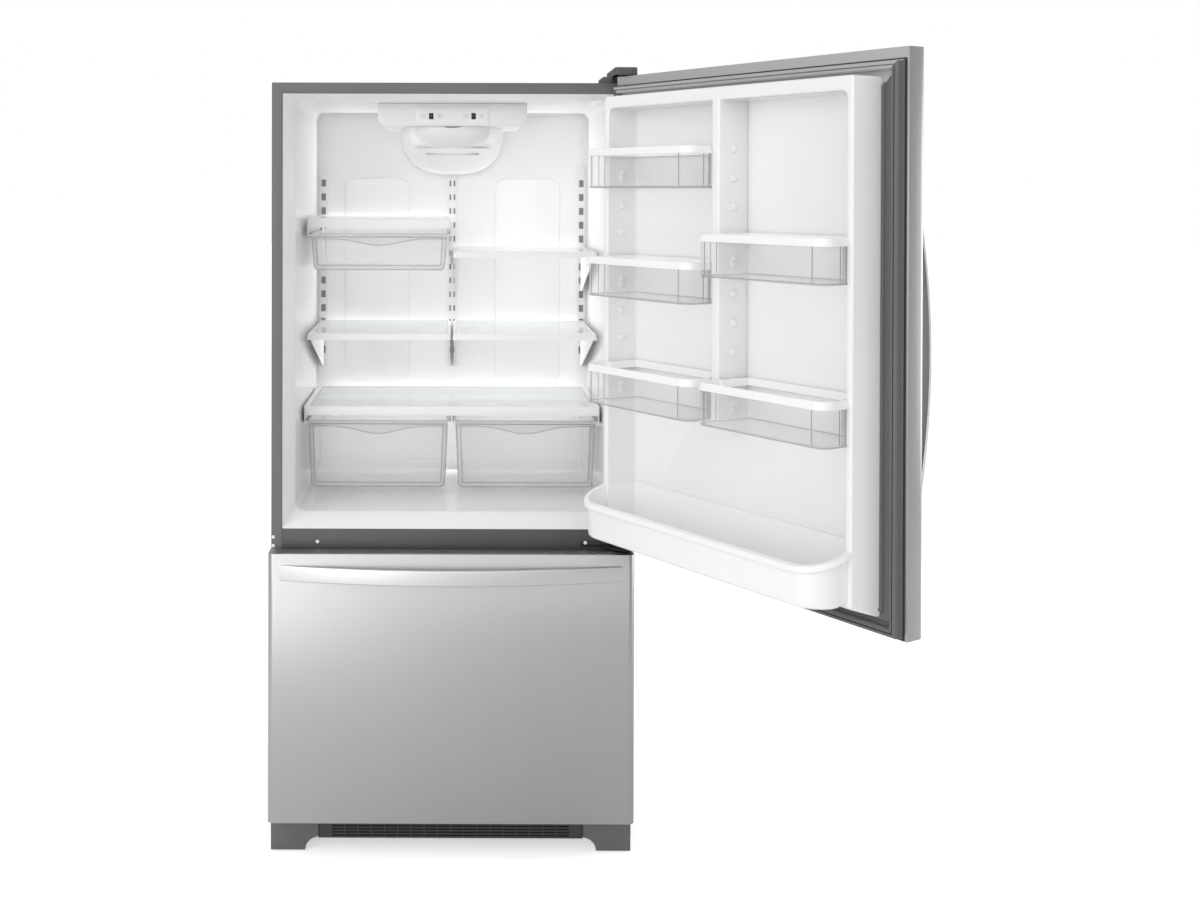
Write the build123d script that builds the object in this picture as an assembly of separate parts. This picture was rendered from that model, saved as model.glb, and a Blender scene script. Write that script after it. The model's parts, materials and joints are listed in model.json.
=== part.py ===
from build123d import *
import math
import os

# Bottom freezer refrigerator, 33 inch class, right-hinged fridge door shown open.
# Millimetres. While it is built: X to the right, Y to the back, Z up, floor at Z = 0,
# cabinet centre line at X = 0 and the cabinet's front flange at Y = 0.
# At the end everything is moved so that the origin is the middle of the floor footprint.

# ---------------------------------------------------------------- cabinet
CAB_W = 832.0            # width over the side panels
CAB_TOP = 1770.0         # height of the cabinet top
CAB_DEPTH = 690.0        # front flange to the back panel's outer face
SHEET = 1.2              # painted and stainless sheet
FLANGE = 25.5            # width of the front return flange
SIDE_BOTTOM = 32.0       # lower edge of the side panels
DECK_Z = 94.5            # underside of the insulated box
RAIL_TOP = 740.5         # centre rail between fridge and freezer
RAIL_BOTTOM = 664.0
RAIL_STIFF = 20.0        # depth of the rail's stiffener
WALL = 49.0              # side wall thickness, panel to liner
BACK_WALL = 105.0        # back wall thickness, liner to back panel
LINER_T = 2.0            # thermoformed liner
TUCK = 9.5               # liner edge tucked behind the flange
LIP_DEPTH = 60.0         # tapered mouth of each liner
LIP_RISE = 12.5          # how much the mouth narrows, top and bottom
FLOOR_RISE = 27.5        # fridge floor above the rail
LINER_CORNER = 22.0
BACK_CORNER = 5.0
PAD_T = 5.0              # embossed panels on the fridge back wall
PAD_X = (118.0, 290.0)
PAD_BOTTOM = 1006.0
PAD_DROP = 216.0         # pad top below the cabinet top
PAD_R = 25.0
MACHINE_DEPTH = 260.0    # machine space, behind and below the freezer
MACHINE_Z = 300.0
HUMP_WALL = 35.0         # insulation of the liner's step over the machine space
HUMP_ROOF = 30.0
SEAT = 0.3               # gap of a part that rests or slides on another

# ---------------------------------------------------------------- door and drawer fronts
DOOR_W = 831.0
DOOR_BOTTOM = 712.0
DOOR_OVER = 12.0           # door top above the cabinet top
DRAWER_Z = (88.0, 699.0)
FRONT_Y = (-69.0, -22.0)   # outer and inner faces of both fronts, closed
EDGE_R = 14.0              # rounded outer vertical edges
RETURN = 22.0              # inner return flange of the folded skins
HINGE_INSET = 18.0         # hinge axis from the door's side
HINGE_Y = -35.7
DOOR_OPEN = 122.1          # stored opening angle, as photographed, degrees
PIN_R = 5.0
PIN_FIT = 0.05             # radial running clearance
PIN_IN = 20.0              # how far a pin enters its bushing
BUSH_R = 9.0

GASKET_W = 47.5            # gasket ring width beside the liner
GASKET_BASE = 4.0
GASKET_GAP = 1.2           # magnetic strip short of the flange, door closed
BALLOON_W = 15.0
BALLOON_IN = 2.5           # balloon inboard of the ring's outer edge
PLATE_T = 2.5              # door liner sheet
GASKET_X = 408.0           # half width over both gasket rings
DOOR_GASKET_IN = (4.0, 23.0)   # gasket ring in from the door's bottom and top
DRAWER_GASKET_Z = (97.0, 692.0)

# ---------------------------------------------------------------- hinges
HINGE_BASE_IN = (64.0, 4.0)      # top plate in from the cabinet's side
HINGE_BASE_Y = (12.0, 112.0)
HINGE_RISER_T = 4.0
HINGE_RISER_IN = 44.0
HINGE_ARM = (19.5, 16.5)         # arm to each side of the pin
HINGE_NOSE = 14.0                # arm ahead of the pin
HINGE_ARM_R = 8.0
HINGE_BOLTS = ((48.0, 40.0), (20.0, 40.0), (34.0, 92.0))   # in from the side, back
BOLT_R = 6.0
BOLT_H = 4.5
LOW_HINGE_IN = (78.0, 1.5)       # lower plate in from the cabinet's side
LOW_LEG_IN = 118.0
LEG_T = 3.0
COVER_IN = (54.0, -3.0)          # hinge cap in from the cabinet's side
COVER_FOOT_IN = (68.0, 1.0)
COVER_NOSE = 24.0
COVER_BACK = 118.0
COVER_STEP_Y = 5.0
COVER_RISE = 32.0
COVER_WALL = 2.2
RAIL_SCREW = (309.0, 29.8)       # half distance, drop below the rail's top
SIDE_PLUG_IN = 5.0
SIDE_PLUG_DROPS = (19.5, 39.5)

# ---------------------------------------------------------------- door liner
DIKE_X = 359.5             # half width over the dikes
DIKE_GAP = 1.5             # dikes clear of the mouth's floor, and of the ceiling
DIKE_TOP_GAP = 1.0
DIKE_RISE = 27.5           # underside rises towards the crest, as the mouth does
DIKE_CREST = 60.0          # crest depth behind the flange, door closed
DIKE_T = 15.0
DIKE_TOP_T = 27.0
DIKE_BOTTOM_T = 36.0
DIKE_EDGE = 4.0
POCKET_R = 12.0
RIB_HALF = 11.5
RIB_BOTTOM = 1060.0
BUTTON = 14.0
BUTTON_OUT = 4.5
BUTTON_Y = 20.0
BIN_PITCH = 58.5
BUTTON_DROP = 163.5        # highest button below the cabinet top
BUTTONS = 10

# ---------------------------------------------------------------- door bins
BIN_OVER = 9.5             # rim above its button
BIN_STEPS = {"left": (0, 4, 8), "right": (3, 8)}
BIN_NAMES = {"left": ("top", "middle", "bottom"), "right": ("top", "bottom")}
BIN_H = 89.0
RIM_H = 18.0
RIM_W = 9.0
BIN_FRONT = 125.0
BIN_R = 30.0
BIN_WALL = 2.5
BIN_SIDE_GAP = 5.0
BIN_LUG_DROP = 60.7        # lug underside below the rim
LUG_H = 12.0
GALLON_FRONT = 148.0
GALLON_LIP = 9.0
GALLON_LIP_H = 14.0
GALLON_TOP = (847.0, 872.0)  # rim height at the front and beside the dikes
GALLON_R = 60.0
GALLON_WALL = 3.0
GALLON_FOOT_R = 14.0

# ---------------------------------------------------------------- handles
HANDLE_W = 35.0
HANDLE_T = 8.0
DOOR_HANDLE_X = -379.0
DOOR_HANDLE_Z = 1218.0
DOOR_HANDLE_L = 630.0
DOOR_HANDLE_BOW = 43.0
DRAWER_HANDLE_Z = 656.0
DRAWER_HANDLE_L = 780.0
DRAWER_HANDLE_BOW = 47.0

# ---------------------------------------------------------------- fridge interior
SHELF_FRONT = 200.0
SHELF_BACK_GAP = 15.0            # shelf short of the back wall
SHELF_X = (1.5, 356.0)
SHELF_RIM = 14.0
REBATE = 5.0
GLASS_T = 4.0
DELI_SHELF_DROP = 87.0           # shelf top below the highest slot
DELI_SHELF_H = 24.0              # trim height
RIGHT_SHELF_DROP = 168.0
RIGHT_SHELF_H = 16.0
LOW_SHELF = (1173.0, 17.0)
BRACKET_T = 2.0
BRACKET_DROP = 108.0
BRACKET_TOE = 30.0
TRACK_X = 349.5                  # centre of the corner tracks
TRACK_W = 23.0
TRACK_T = 3.0
TRACK_OVER = 45.0                # track above its highest slot and below its lowest
CENTRE_TRACK_OVER = 22.0
TRACK_COLUMN = 5.5               # slot columns beside the centre line
CENTRE_SLOT = (4.5, 15.0)
SLOT = (12.0, 19.0)
SLOT_PITCH = 37.6
SLOT_DROP = 228.0                # highest slot below the cabinet top
SLOTS = 13
COVER_X = 360.0                  # crisper cover
COVER_FRONT = 177.0
COVER_BACK_GAP = 29.0
COVER_TOP = 996.0
COVER_H = 21.0
COVER_RIM = (30.0, 16.0)         # front and side rim widths
HANGER_DROP = 18.0               # rail shelf below the cover or shelf
HANGER_T = 2.5
HANGER_IN = 6.0
FLANGE_T = 3.5                   # sliding flange of a tray
FLANGE_GAP = 1.0                 # its edge short of the rail web
TRAY_GAP = 0.8                   # tray wall short of the rail lip
CRISPER_FRONT = 186.0
CRISPER_BACK_GAP = 45.0
CRISPER_BOTTOM = 797.0
DELI_FRONT = 203.0
DELI_BACK_GAP = 65.0
DELI_H = 129.0                   # drawer bottom below its shelf's top
TRAY_WALL = 2.5
TRAY_TAPER = 7.0                 # bottom narrower than top, each side
TRAY_R = 16.0
LIP_T = 6.0                      # handle lip on a tray's front
LIP_END = 14.0
LIP_DIP = 32.0
SLIDER = (18.0, 9.0, 5.0)
SLIDER_X = 283.0
SLIDER_TRAVEL = 30.0

HOUSING_X = 180.0
HOUSING_FRONT = 150.0
HOUSING_BACK_GAP = 115.0
HOUSING_H = 54.0                 # housing bottom below the ceiling
HOUSING_R = 22.0
HOUSING_WALL = 2.5
PANEL_X = 88.0
PANEL_UP = (4.0, 43.0)           # fascia above the housing's bottom
PANEL_T = 2.0
DISPLAY_X = 51.0
DISPLAY = (11.0, 15.0)
DISPLAY_UP = 23.0
KEY_OFFSET = 19.0
KEY = (11.0, 8.0)
KEY_GAP = 0.3
KEY_FLANGE = 1.5
KEY_PROUD = 1.6
DOME_X = 133.0
DOME_DROP = 112.0
DOME_Y = 165.0
DOME_WALL = 3.0
DOME_SLOTS = ((52.0, 92.0), (67.0, 66.0))   # drop and half width of each louvre
DOME_SLOT_H = 3.0
DOME_SLOT_BACK = 60.0            # louvres end short of the back wall
DOME_DUCT = (0.8, 0.7)           # share of the dome's width and drop open to the back wall
BULB_R = 15.0
BULB_X = 55.0

# ---------------------------------------------------------------- freezer
SLIDE_Z = (350.0, 390.0)
SLIDE_FRONT = 25.0
SLIDE_T = 12.0
SLIDE_WEB = 1.8
MOVING_BACK_GAP = 37.0
RUNNER_Z = 590.0
RUNNER_W = 11.0
RUNNER_T = 3.0
BASKET_WALL = 3.0
BASKET_R = 10.0
PANEL_SUNK = 1.2           # recessed panels of the basket walls
PANEL_END = 30.0
PANEL_BAR = 18.0           # bar between two panels
LOW_BASKET_X = 343.0
LOW_BASKET_FRONT = 8.0
BASKET_GAP = 15.0          # lower basket short of the liner's step
TOP_BASKET_GAP = 52.0      # upper basket short of the cooling cover
LOW_BASKET_Z = (156.0, 430.0)
TOP_BASKET_X = 352.0
TOP_BASKET_FRONT = 30.0
TOP_BASKET_Z = (505.0, 625.0)
PLUG_X = 352.0
PLUG_Z = (142.0, 645.0)

# ---------------------------------------------------------------- cooling parts
EVAP_SPACE = 93.0          # cover to the back wall
EVAP_COVER_T = 3.0
EVAP_X = 300.0
EVAP_GAP = (70.0, 17.0)    # coil's faces short of the back wall
EVAP_Z = (345.0, 485.0)
TUBE_R = 4.0
FIN_T = 1.0
FAN_Z = 573.0
FAN_R = 52.0
FAN_GAP = 9.0
HUB_R = 17.0
BLADES = 5
MOTOR_R = 20.0
SHAFT_R = 3.0
COND_FAN_R = 70.0
COND_FAN_X = -135.0
COND_FAN_BACK = 130.0      # distances from the cabinet's back
COND_FAN_Z = 165.0
COMP_X = 235.0
COMP_BACK = 125.0
COMP_R = 82.0
COMP_H = 165.0
COMP_FEET = 11.0
COND_X = (-372.0, -215.0)
COND_BACK = (220.0, 30.0)
COND_Z = (90.0, 240.0)
PAN_X = (-376.0, -210.0)
PAN_H = 24.0
PAN_WALL = 2.0
PAN_REST = 4.0             # ribs that hold the condenser above the pan
GLAND_X = -330.0
GLAND_Z = 255.0
GLAND_R = 9.0
GLAND_BORE = 4.0
GLAND_L = 20.0

# ---------------------------------------------------------------- base
CHANNEL_W = 33.0
CHANNEL_T = 2.0
BASE_PLATE_Z = 60.0
WHEEL_R = 22.0
WHEEL_W = 24.0
WHEEL_BACK = 90.0
AXLE_R = 4.0
EAR_BOTTOM = 11.0
EAR_L = 40.0
LEG_Y = 55.0
LEG_R = 6.0
SOLE_R = 14.0
SOLE_H = 8.0
LEG_TOP = 84.0
BAR_Y = (30.0, 80.0)
FOOT_X = (335.0, 414.0)
FOOT_IN = 305.0
FOOT_STEP = 33.0
FOOT_Y = (-14.0, 19.7)
FOOT_CLEAR = 3.0
TOE_TOP = 92.0
TOE_WALL = 3.0
GRILLE_Z = 29.0
GRILLE_SLOT_X = 274.0
GRILLE_ROWS = 4
GRILLE_COLS = 18
GRILLE_BAR = 2.6

# ---------------------------------------------------------------- derived places
HALF = CAB_W / 2
MOUTH_X = HALF - FLANGE
MOUTH_TOP = CAB_TOP - FLANGE
MOUTH_BOTTOM = DECK_Z + FLANGE
IN_X = HALF - WALL
IN_BACK = CAB_DEPTH - BACK_WALL
MACHINE_Y = CAB_DEPTH - MACHINE_DEPTH
HUMP_Y = MACHINE_Y - HUMP_WALL
HUMP_Z = MACHINE_Z + HUMP_ROOF
DOOR_Z = (DOOR_BOTTOM, CAB_TOP + DOOR_OVER)
DOOR_GASKET_Z = (DOOR_Z[0] + DOOR_GASKET_IN[0], DOOR_Z[1] - DOOR_GASKET_IN[1])
HINGE_X = DOOR_W / 2 - HINGE_INSET
HINGE_TOP_PLATE = DOOR_Z[1] + 2.0
HINGE_PLATE_T = 4.0
HINGE_LOW_PLATE = DRAWER_Z[1] + 3.0
FRIDGE_IN_Z = (RAIL_TOP + FLOOR_RISE, MOUTH_TOP - LIP_RISE)
FREEZER_IN_Z = (MOUTH_BOTTOM + LIP_RISE, RAIL_BOTTOM - LIP_RISE)
DIKE_Z = (RAIL_TOP + DIKE_GAP, FRIDGE_IN_Z[1] - DIKE_TOP_GAP)
PAD_Z = (PAD_BOTTOM, CAB_TOP - PAD_DROP)
BUTTON_TOP = CAB_TOP - BUTTON_DROP
BIN_TOP = BUTTON_TOP + BIN_OVER
SLOT_TOP = CAB_TOP - SLOT_DROP
SLOT_BOTTOM = SLOT_TOP - (SLOTS - 1) * SLOT_PITCH
TRACK_Z = (SLOT_BOTTOM - TRACK_OVER, SLOT_TOP + TRACK_OVER)
CENTRE_TRACK_Z = (TRACK_Z[0], SLOT_TOP + CENTRE_TRACK_OVER)
DELI_SHELF = (SLOT_TOP - DELI_SHELF_DROP, DELI_SHELF_H)
RIGHT_SHELF = (SLOT_TOP - RIGHT_SHELF_DROP, RIGHT_SHELF_H)
SHELF_BACK = IN_BACK - SHELF_BACK_GAP
COVER_Y = (COVER_FRONT, IN_BACK - COVER_BACK_GAP)
CRISPER_Y = (CRISPER_FRONT, IN_BACK - CRISPER_BACK_GAP)
DELI_Y = (DELI_FRONT, IN_BACK - DELI_BACK_GAP)
DELI_BOTTOM = DELI_SHELF[0] - DELI_H
HOUSING_Y = (HOUSING_FRONT, IN_BACK - HOUSING_BACK_GAP)
HOUSING_Z = (FRIDGE_IN_Z[1] - HOUSING_H, FRIDGE_IN_Z[1] - SEAT)
PANEL_Z = (HOUSING_Z[0] + PANEL_UP[0], HOUSING_Z[0] + PANEL_UP[1])
DISPLAY_Z = HOUSING_Z[0] + DISPLAY_UP
EVAP_COVER_Y = IN_BACK - EVAP_SPACE
EVAP_Y = (IN_BACK - EVAP_GAP[0], IN_BACK - EVAP_GAP[1])
SLIDE_Y = (SLIDE_FRONT, EVAP_COVER_Y - 7.0)
SLIDE_BACK = EVAP_COVER_Y - MOVING_BACK_GAP
LOW_BASKET_Y = (LOW_BASKET_FRONT, HUMP_Y - BASKET_GAP)
TOP_BASKET_Y = (TOP_BASKET_FRONT, EVAP_COVER_Y - TOP_BASKET_GAP)
COND_FAN_Y = CAB_DEPTH - COND_FAN_BACK
COMP_Y = CAB_DEPTH - COMP_BACK
COND_Y = (CAB_DEPTH - COND_BACK[0], CAB_DEPTH - COND_BACK[1])
WHEEL_Y = CAB_DEPTH - WHEEL_BACK
CHANNEL_OUT = HALF - SHEET
AXLE_X = CHANNEL_OUT - CHANNEL_W / 2


# ================================================================ helpers
def block(x, y, z):
    """Box from its three ranges."""
    size = (x[1] - x[0], y[1] - y[0], z[1] - z[0])
    return Pos((x[0] + x[1]) / 2, (y[0] + y[1]) / 2, (z[0] + z[1]) / 2) * Box(*size)


def rounded(x, y, z, radius, axis):
    """Box with the four edges along one axis rounded."""
    box = block(x, y, z)
    return fillet(box.edges().filter_by(axis), radius)


def rod(centre, radius, length, direction):
    """Cylinder that starts at centre and runs along direction."""
    return Solid.make_cylinder(radius, length, Plane(origin=centre, z_dir=direction))


def mirrored(part):
    """The part and its mirror image across the cabinet's centre plane."""
    return [part, mirror(part, about=Plane.YZ)]


def both(x):
    """Symmetric range about zero."""
    return (-x, x)


def facing(y):
    """Plane at depth y with local x to the right and local y up."""
    return Plane(origin=(0, y, 0), x_dir=(1, 0, 0), z_dir=(0, -1, 0))


def window(y, x, z, radius):
    """Rounded rectangle at depth y."""
    shape = RectangleRounded(x[1] - x[0], z[1] - z[0], radius)
    return facing(y) * Pos((x[0] + x[1]) / 2, (z[0] + z[1]) / 2) * shape


def backwards(sketch, length):
    """Extrude a sketch on a facing plane towards +Y."""
    return extrude(sketch, amount=-length)


def joined(parts):
    """Fuse a list of solids."""
    whole = parts[0]
    for part in parts[1:]:
        whole = whole + part
    return whole


def group(parts):
    """Separate solids kept together in one node."""
    solids = []
    for part in parts:
        solids.extend(part.solids())
    return Compound(solids)


def opened(part):
    """A door piece, turned from closed to the stored opening."""
    turn = Pos(HINGE_X, HINGE_Y, 0) * Rot(0, 0, DOOR_OPEN) * Pos(-HINGE_X, -HINGE_Y, 0)
    return turn * part


def ring(outer_x, outer_z, inner_x, inner_z, y):
    """Rectangular frame between two depths."""
    return block(outer_x, y, outer_z) - block(inner_x, (y[0] - 1, y[1] + 1), inner_z)


# ================================================================ insulated box
def cavity(mouth_z, inner_z, grow):
    """Inside space of a liner, grown on every side but the front."""
    mouth = window(SHEET, both(MOUTH_X + grow), (mouth_z[0] - grow, mouth_z[1] + grow), 6.0 + grow)
    throat_z = (inner_z[0] - grow, inner_z[1] + grow)
    throat = window(LIP_DEPTH, both(IN_X + grow), throat_z, LINER_CORNER + grow)
    lip = loft([mouth, throat])
    room = backwards(throat, IN_BACK + grow - LIP_DEPTH)
    back = room.faces().sort_by(Axis.Y)[-1]
    room = fillet(back.edges(), BACK_CORNER + grow)
    return lip + room


def fridge_cavity(grow):
    return cavity((RAIL_TOP, MOUTH_TOP), FRIDGE_IN_Z, grow)


def freezer_cavity(grow):
    room = cavity((MOUTH_BOTTOM, RAIL_BOTTOM), FREEZER_IN_Z, grow)
    hump = block(both(HALF), (HUMP_Y + grow, CAB_DEPTH), (0, HUMP_Z - grow))
    return room - hump


def tuck_ring(mouth_z):
    """Liner edge behind the front flange."""
    outer_z = (mouth_z[0] - TUCK + 2.0, mouth_z[1] + TUCK)
    return ring(both(MOUTH_X + TUCK), outer_z, both(MOUTH_X), mouth_z, (SHEET, SHEET + LINER_T))


def freezer_tuck():
    mouth_z = (MOUTH_BOTTOM, RAIL_BOTTOM)
    outer_z = (mouth_z[0] - TUCK, mouth_z[1] + TUCK - 2.0)
    return ring(both(MOUTH_X + TUCK), outer_z, both(MOUTH_X), mouth_z, (SHEET, SHEET + LINER_T))


def back_pads():
    """Raised rounded panels on the fridge back wall."""
    pads = []
    for side in (-1, 1):
        x = sorted((side * PAD_X[0], side * PAD_X[1]))
        pads.append(backwards(window(IN_BACK - PAD_T, x, PAD_Z, PAD_R), PAD_T + LINER_T / 2))
    return pads


def cover_ledges():
    """Moulded ledges in the side walls that carry the crisper cover."""
    top = COVER_TOP - COVER_H - HANGER_DROP - HANGER_T
    x = (COVER_X - HANGER_IN, IN_X + LINER_T / 2)
    return mirrored(block(x, (COVER_Y[0] + 30.0, COVER_Y[1] - 30.0), (top - 8.0, top)))


def fridge_liner():
    mouth_z = (RAIL_TOP, MOUTH_TOP)
    shell = fridge_cavity(LINER_T) + tuck_ring(mouth_z) - fridge_cavity(0)
    return joined([shell] + back_pads() + cover_ledges())


def freezer_liner():
    return freezer_cavity(LINER_T) + freezer_tuck() - freezer_cavity(0)


def foam_core():
    y = (SHEET, CAB_DEPTH - SHEET)
    foam = block(both(HALF - SHEET), y, (DECK_Z + SHEET, CAB_TOP - SHEET))
    foam = foam - block(both(HALF), (MACHINE_Y - SHEET, CAB_DEPTH), (0, MACHINE_Z + SHEET))
    foam = foam - fridge_cavity(LINER_T) - freezer_cavity(LINER_T)
    foam = foam - tuck_ring((RAIL_TOP, MOUTH_TOP)) - freezer_tuck()
    mouth = (MOUTH_BOTTOM, MOUTH_TOP)
    foam = foam - block(both(MOUTH_X), (0, SHEET), mouth) - rail_stiffener()
    return foam


def cabinet_shell():
    """Side, top and front flange sheets with the deck over the machine space."""
    y = (0, CAB_DEPTH - SHEET)
    wrap = block(both(HALF), y, (SIDE_BOTTOM, CAB_TOP))
    wrap = wrap - block(both(HALF - SHEET), (SHEET, CAB_DEPTH), (0, CAB_TOP - SHEET))
    wrap = wrap - block(both(MOUTH_X), (-1, SHEET + 1), (MOUTH_BOTTOM, MOUTH_TOP))
    wrap = wrap - block(both(HALF - SHEET), (-1, SHEET + 1), (0, DECK_Z))
    inside = both(HALF - SHEET)
    floor = block(inside, (SHEET, MACHINE_Y), (DECK_Z, DECK_Z + SHEET))
    riser = block(inside, (MACHINE_Y - SHEET, MACHINE_Y), (DECK_Z, MACHINE_Z + SHEET))
    roof = block(inside, (MACHINE_Y - SHEET, CAB_DEPTH - SHEET), (MACHINE_Z, MACHINE_Z + SHEET))
    return joined([wrap, floor, riser, roof])


def back_panel():
    z = (MACHINE_Z, CAB_TOP)
    return block(both(HALF), (CAB_DEPTH - SHEET, CAB_DEPTH), z)


def rail_stiffener():
    z = (RAIL_BOTTOM + TUCK - 2.0 + 0.2, RAIL_TOP - TUCK + 2.0 - 0.2)
    return block(both(MOUTH_X + TUCK), (SHEET, SHEET + RAIL_STIFF), z)


def centre_rail():
    """Front cross rail between the two compartments."""
    face = block(both(MOUTH_X - 0.2), (0, SHEET), (RAIL_BOTTOM, RAIL_TOP))
    return face + rail_stiffener()


# ================================================================ fridge interior
def track(x, width, z, columns, slot):
    """Slotted steel strip that carries the shelf brackets."""
    y = (IN_BACK - TRACK_T, IN_BACK)
    strip = block((x - width / 2, x + width / 2), y, z)
    cuts = []
    for column in columns:
        for row in range(SLOTS):
            middle = SLOT_TOP - row * SLOT_PITCH
            span = (middle - slot[1] / 2, middle + slot[1] / 2)
            cuts.append(block((x + column - slot[0] / 2, x + column + slot[0] / 2),
                              (y[0] - 1, y[1] - 0.8), span))
    return strip - Compound(cuts)


def shelf_tracks():
    side = [track(side * TRACK_X, TRACK_W, TRACK_Z, (0,), SLOT) for side in (-1, 1)]
    columns = (-TRACK_COLUMN, TRACK_COLUMN)
    centre = track(0, TRACK_W, CENTRE_TRACK_Z, columns, CENTRE_SLOT)
    return group(side + [centre])


def bracket(x, top, front):
    """Cantilever bracket under a shelf, hooked to a track."""
    back = IN_BACK - TRACK_T - SEAT
    outline = Polyline((front, top), (back, top), (back, top - BRACKET_DROP),
                       (back - BRACKET_TOE, top - BRACKET_DROP), (front, top), close=False)
    face = make_face(outline)
    plane = Plane(origin=(x - BRACKET_T / 2, 0, 0), x_dir=(0, 1, 0), z_dir=(1, 0, 0))
    return extrude(plane * face, amount=BRACKET_T)


def shelf_frame(x, spec, bracket_front):
    """Rim of one shelf with a rebate for the glass, and its two brackets."""
    top, height = spec
    bottom = top - height
    y = (SHELF_FRONT, SHELF_BACK)
    rim = rounded(x, y, (bottom, top), 6.0, Axis.Z)
    inner_x = (x[0] + SHELF_RIM, x[1] - SHELF_RIM)
    inner_y = (y[0] + SHELF_RIM, y[1] - SHELF_RIM)
    rim = rim - block(inner_x, inner_y, (bottom - 1, top + 1))
    seat_x = (inner_x[0] - REBATE, inner_x[1] + REBATE)
    seat_y = (inner_y[0] - REBATE, inner_y[1] + REBATE)
    rim = rim - block(seat_x, seat_y, (top - GLASS_T - 1.0, top + 1))
    hang = bottom + 2.0
    side = math.copysign(1, x[0] + x[1])
    arms = [bracket(side * TRACK_COLUMN, hang, bracket_front)]
    arms.append(bracket(side * (TRACK_X - 1.0), hang, bracket_front))
    return joined([rim] + arms)


def shelf_pane(x, spec):
    """Glass pane in the rebate."""
    top = spec[0] - 1.0
    edge = SHELF_RIM - REBATE + SEAT
    pane_x = (x[0] + edge, x[1] - edge)
    pane_y = (SHELF_FRONT + edge, SHELF_BACK - edge)
    return block(pane_x, pane_y, (top - GLASS_T, top))


def left_x():
    return (-SHELF_X[1], -SHELF_X[0])


def hanger(x_wall, x_lip, y, top):
    """L-shaped rail below a shelf, between its web and the free lip."""
    low = top - HANGER_DROP - HANGER_T
    web = block(sorted((x_wall, x_wall + math.copysign(2.0, x_lip - x_wall))), y, (low, top))
    lip = block(sorted((x_wall, x_lip)), y, (low, low + HANGER_T))
    return web + lip


def shelf_frames():
    front = SHELF_FRONT + SHELF_RIM
    deli = shelf_frame(left_x(), DELI_SHELF, DELI_Y[1] + 10.0)
    under = DELI_SHELF[0] - DELI_SHELF[1]
    y = (SHELF_FRONT + 12.0, SHELF_BACK - 20.0)
    x = left_x()
    deli = deli + hanger(x[0], x[0] + HANGER_IN, y, under) + hanger(x[1], x[1] - HANGER_IN, y, under)
    frames = [deli, shelf_frame(SHELF_X, RIGHT_SHELF, front)]
    frames += [shelf_frame(left_x(), LOW_SHELF, front), shelf_frame(SHELF_X, LOW_SHELF, front)]
    return group(frames)


def cover_pane_edges():
    front, side = COVER_RIM
    return front - REBATE, side - REBATE


def shelf_glass():
    panes = [shelf_pane(left_x(), DELI_SHELF), shelf_pane(SHELF_X, RIGHT_SHELF)]
    panes += [shelf_pane(left_x(), LOW_SHELF), shelf_pane(SHELF_X, LOW_SHELF)]
    front, side = cover_pane_edges()
    y = (COVER_Y[0] + front + SEAT, COVER_Y[1] - side - SEAT)
    top = COVER_TOP - 1.0
    panes.append(block(both(COVER_X - side - SEAT), y, (top - GLASS_T, top)))
    return group(panes)


def crisper_cover():
    """Frame over the crispers with the rails that they hang in."""
    z = (COVER_TOP - COVER_H, COVER_TOP)
    body = rounded(both(COVER_X), COVER_Y, z, 8.0, Axis.Z)
    front, side = COVER_RIM
    body = body - block(both(COVER_X - side), (COVER_Y[0] + front, COVER_Y[1] - side), (z[0] - 1, z[1] + 1))
    front, side = cover_pane_edges()
    rebate_y = (COVER_Y[0] + front, COVER_Y[1] - side)
    body = body - block(both(COVER_X - side), rebate_y, (COVER_TOP - 1.0 - GLASS_T, z[1] + 1))
    for x in (-SLIDER_X, SLIDER_X):
        inward = -math.copysign(SLIDER_TRAVEL, x)
        slot_x = sorted((x - math.copysign(SLIDER[0] / 2 + SEAT, inward),
                         x + inward + math.copysign(SLIDER[0] / 2 + SEAT, inward)))
        body = body - block(slot_x, slider_y(SEAT), (z[0] - 1, z[0] + SLIDER[2] / 2 + SEAT))
    y = (CRISPER_Y[0] + 4.0, COVER_Y[1] - 4.0)
    low = z[0] - HANGER_DROP - HANGER_T
    web = block(both(1.5), y, (low, z[0]))
    lip = block(both(1.5 + HANGER_IN), y, (low, low + HANGER_T))
    rails = [web, lip, hanger(COVER_X, COVER_X - HANGER_IN, y, z[0]),
             hanger(-COVER_X, -COVER_X + HANGER_IN, y, z[0])]
    return joined([body] + rails)


def slider_y(clear):
    middle = COVER_Y[0] + 9.0
    return (middle - SLIDER[1] / 2 - clear, middle + SLIDER[1] / 2 + clear)


def humidity_slider(side):
    """Vent slider in the cover's front rim, proud below it."""
    low = COVER_TOP - COVER_H
    x = (side * SLIDER_X - SLIDER[0] / 2, side * SLIDER_X + SLIDER[0] / 2)
    body = block(x, slider_y(0), (low - SLIDER[2] / 2, low + SLIDER[2] / 2))
    return fillet(body.edges().filter_by(Axis.Y), 1.5)


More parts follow.
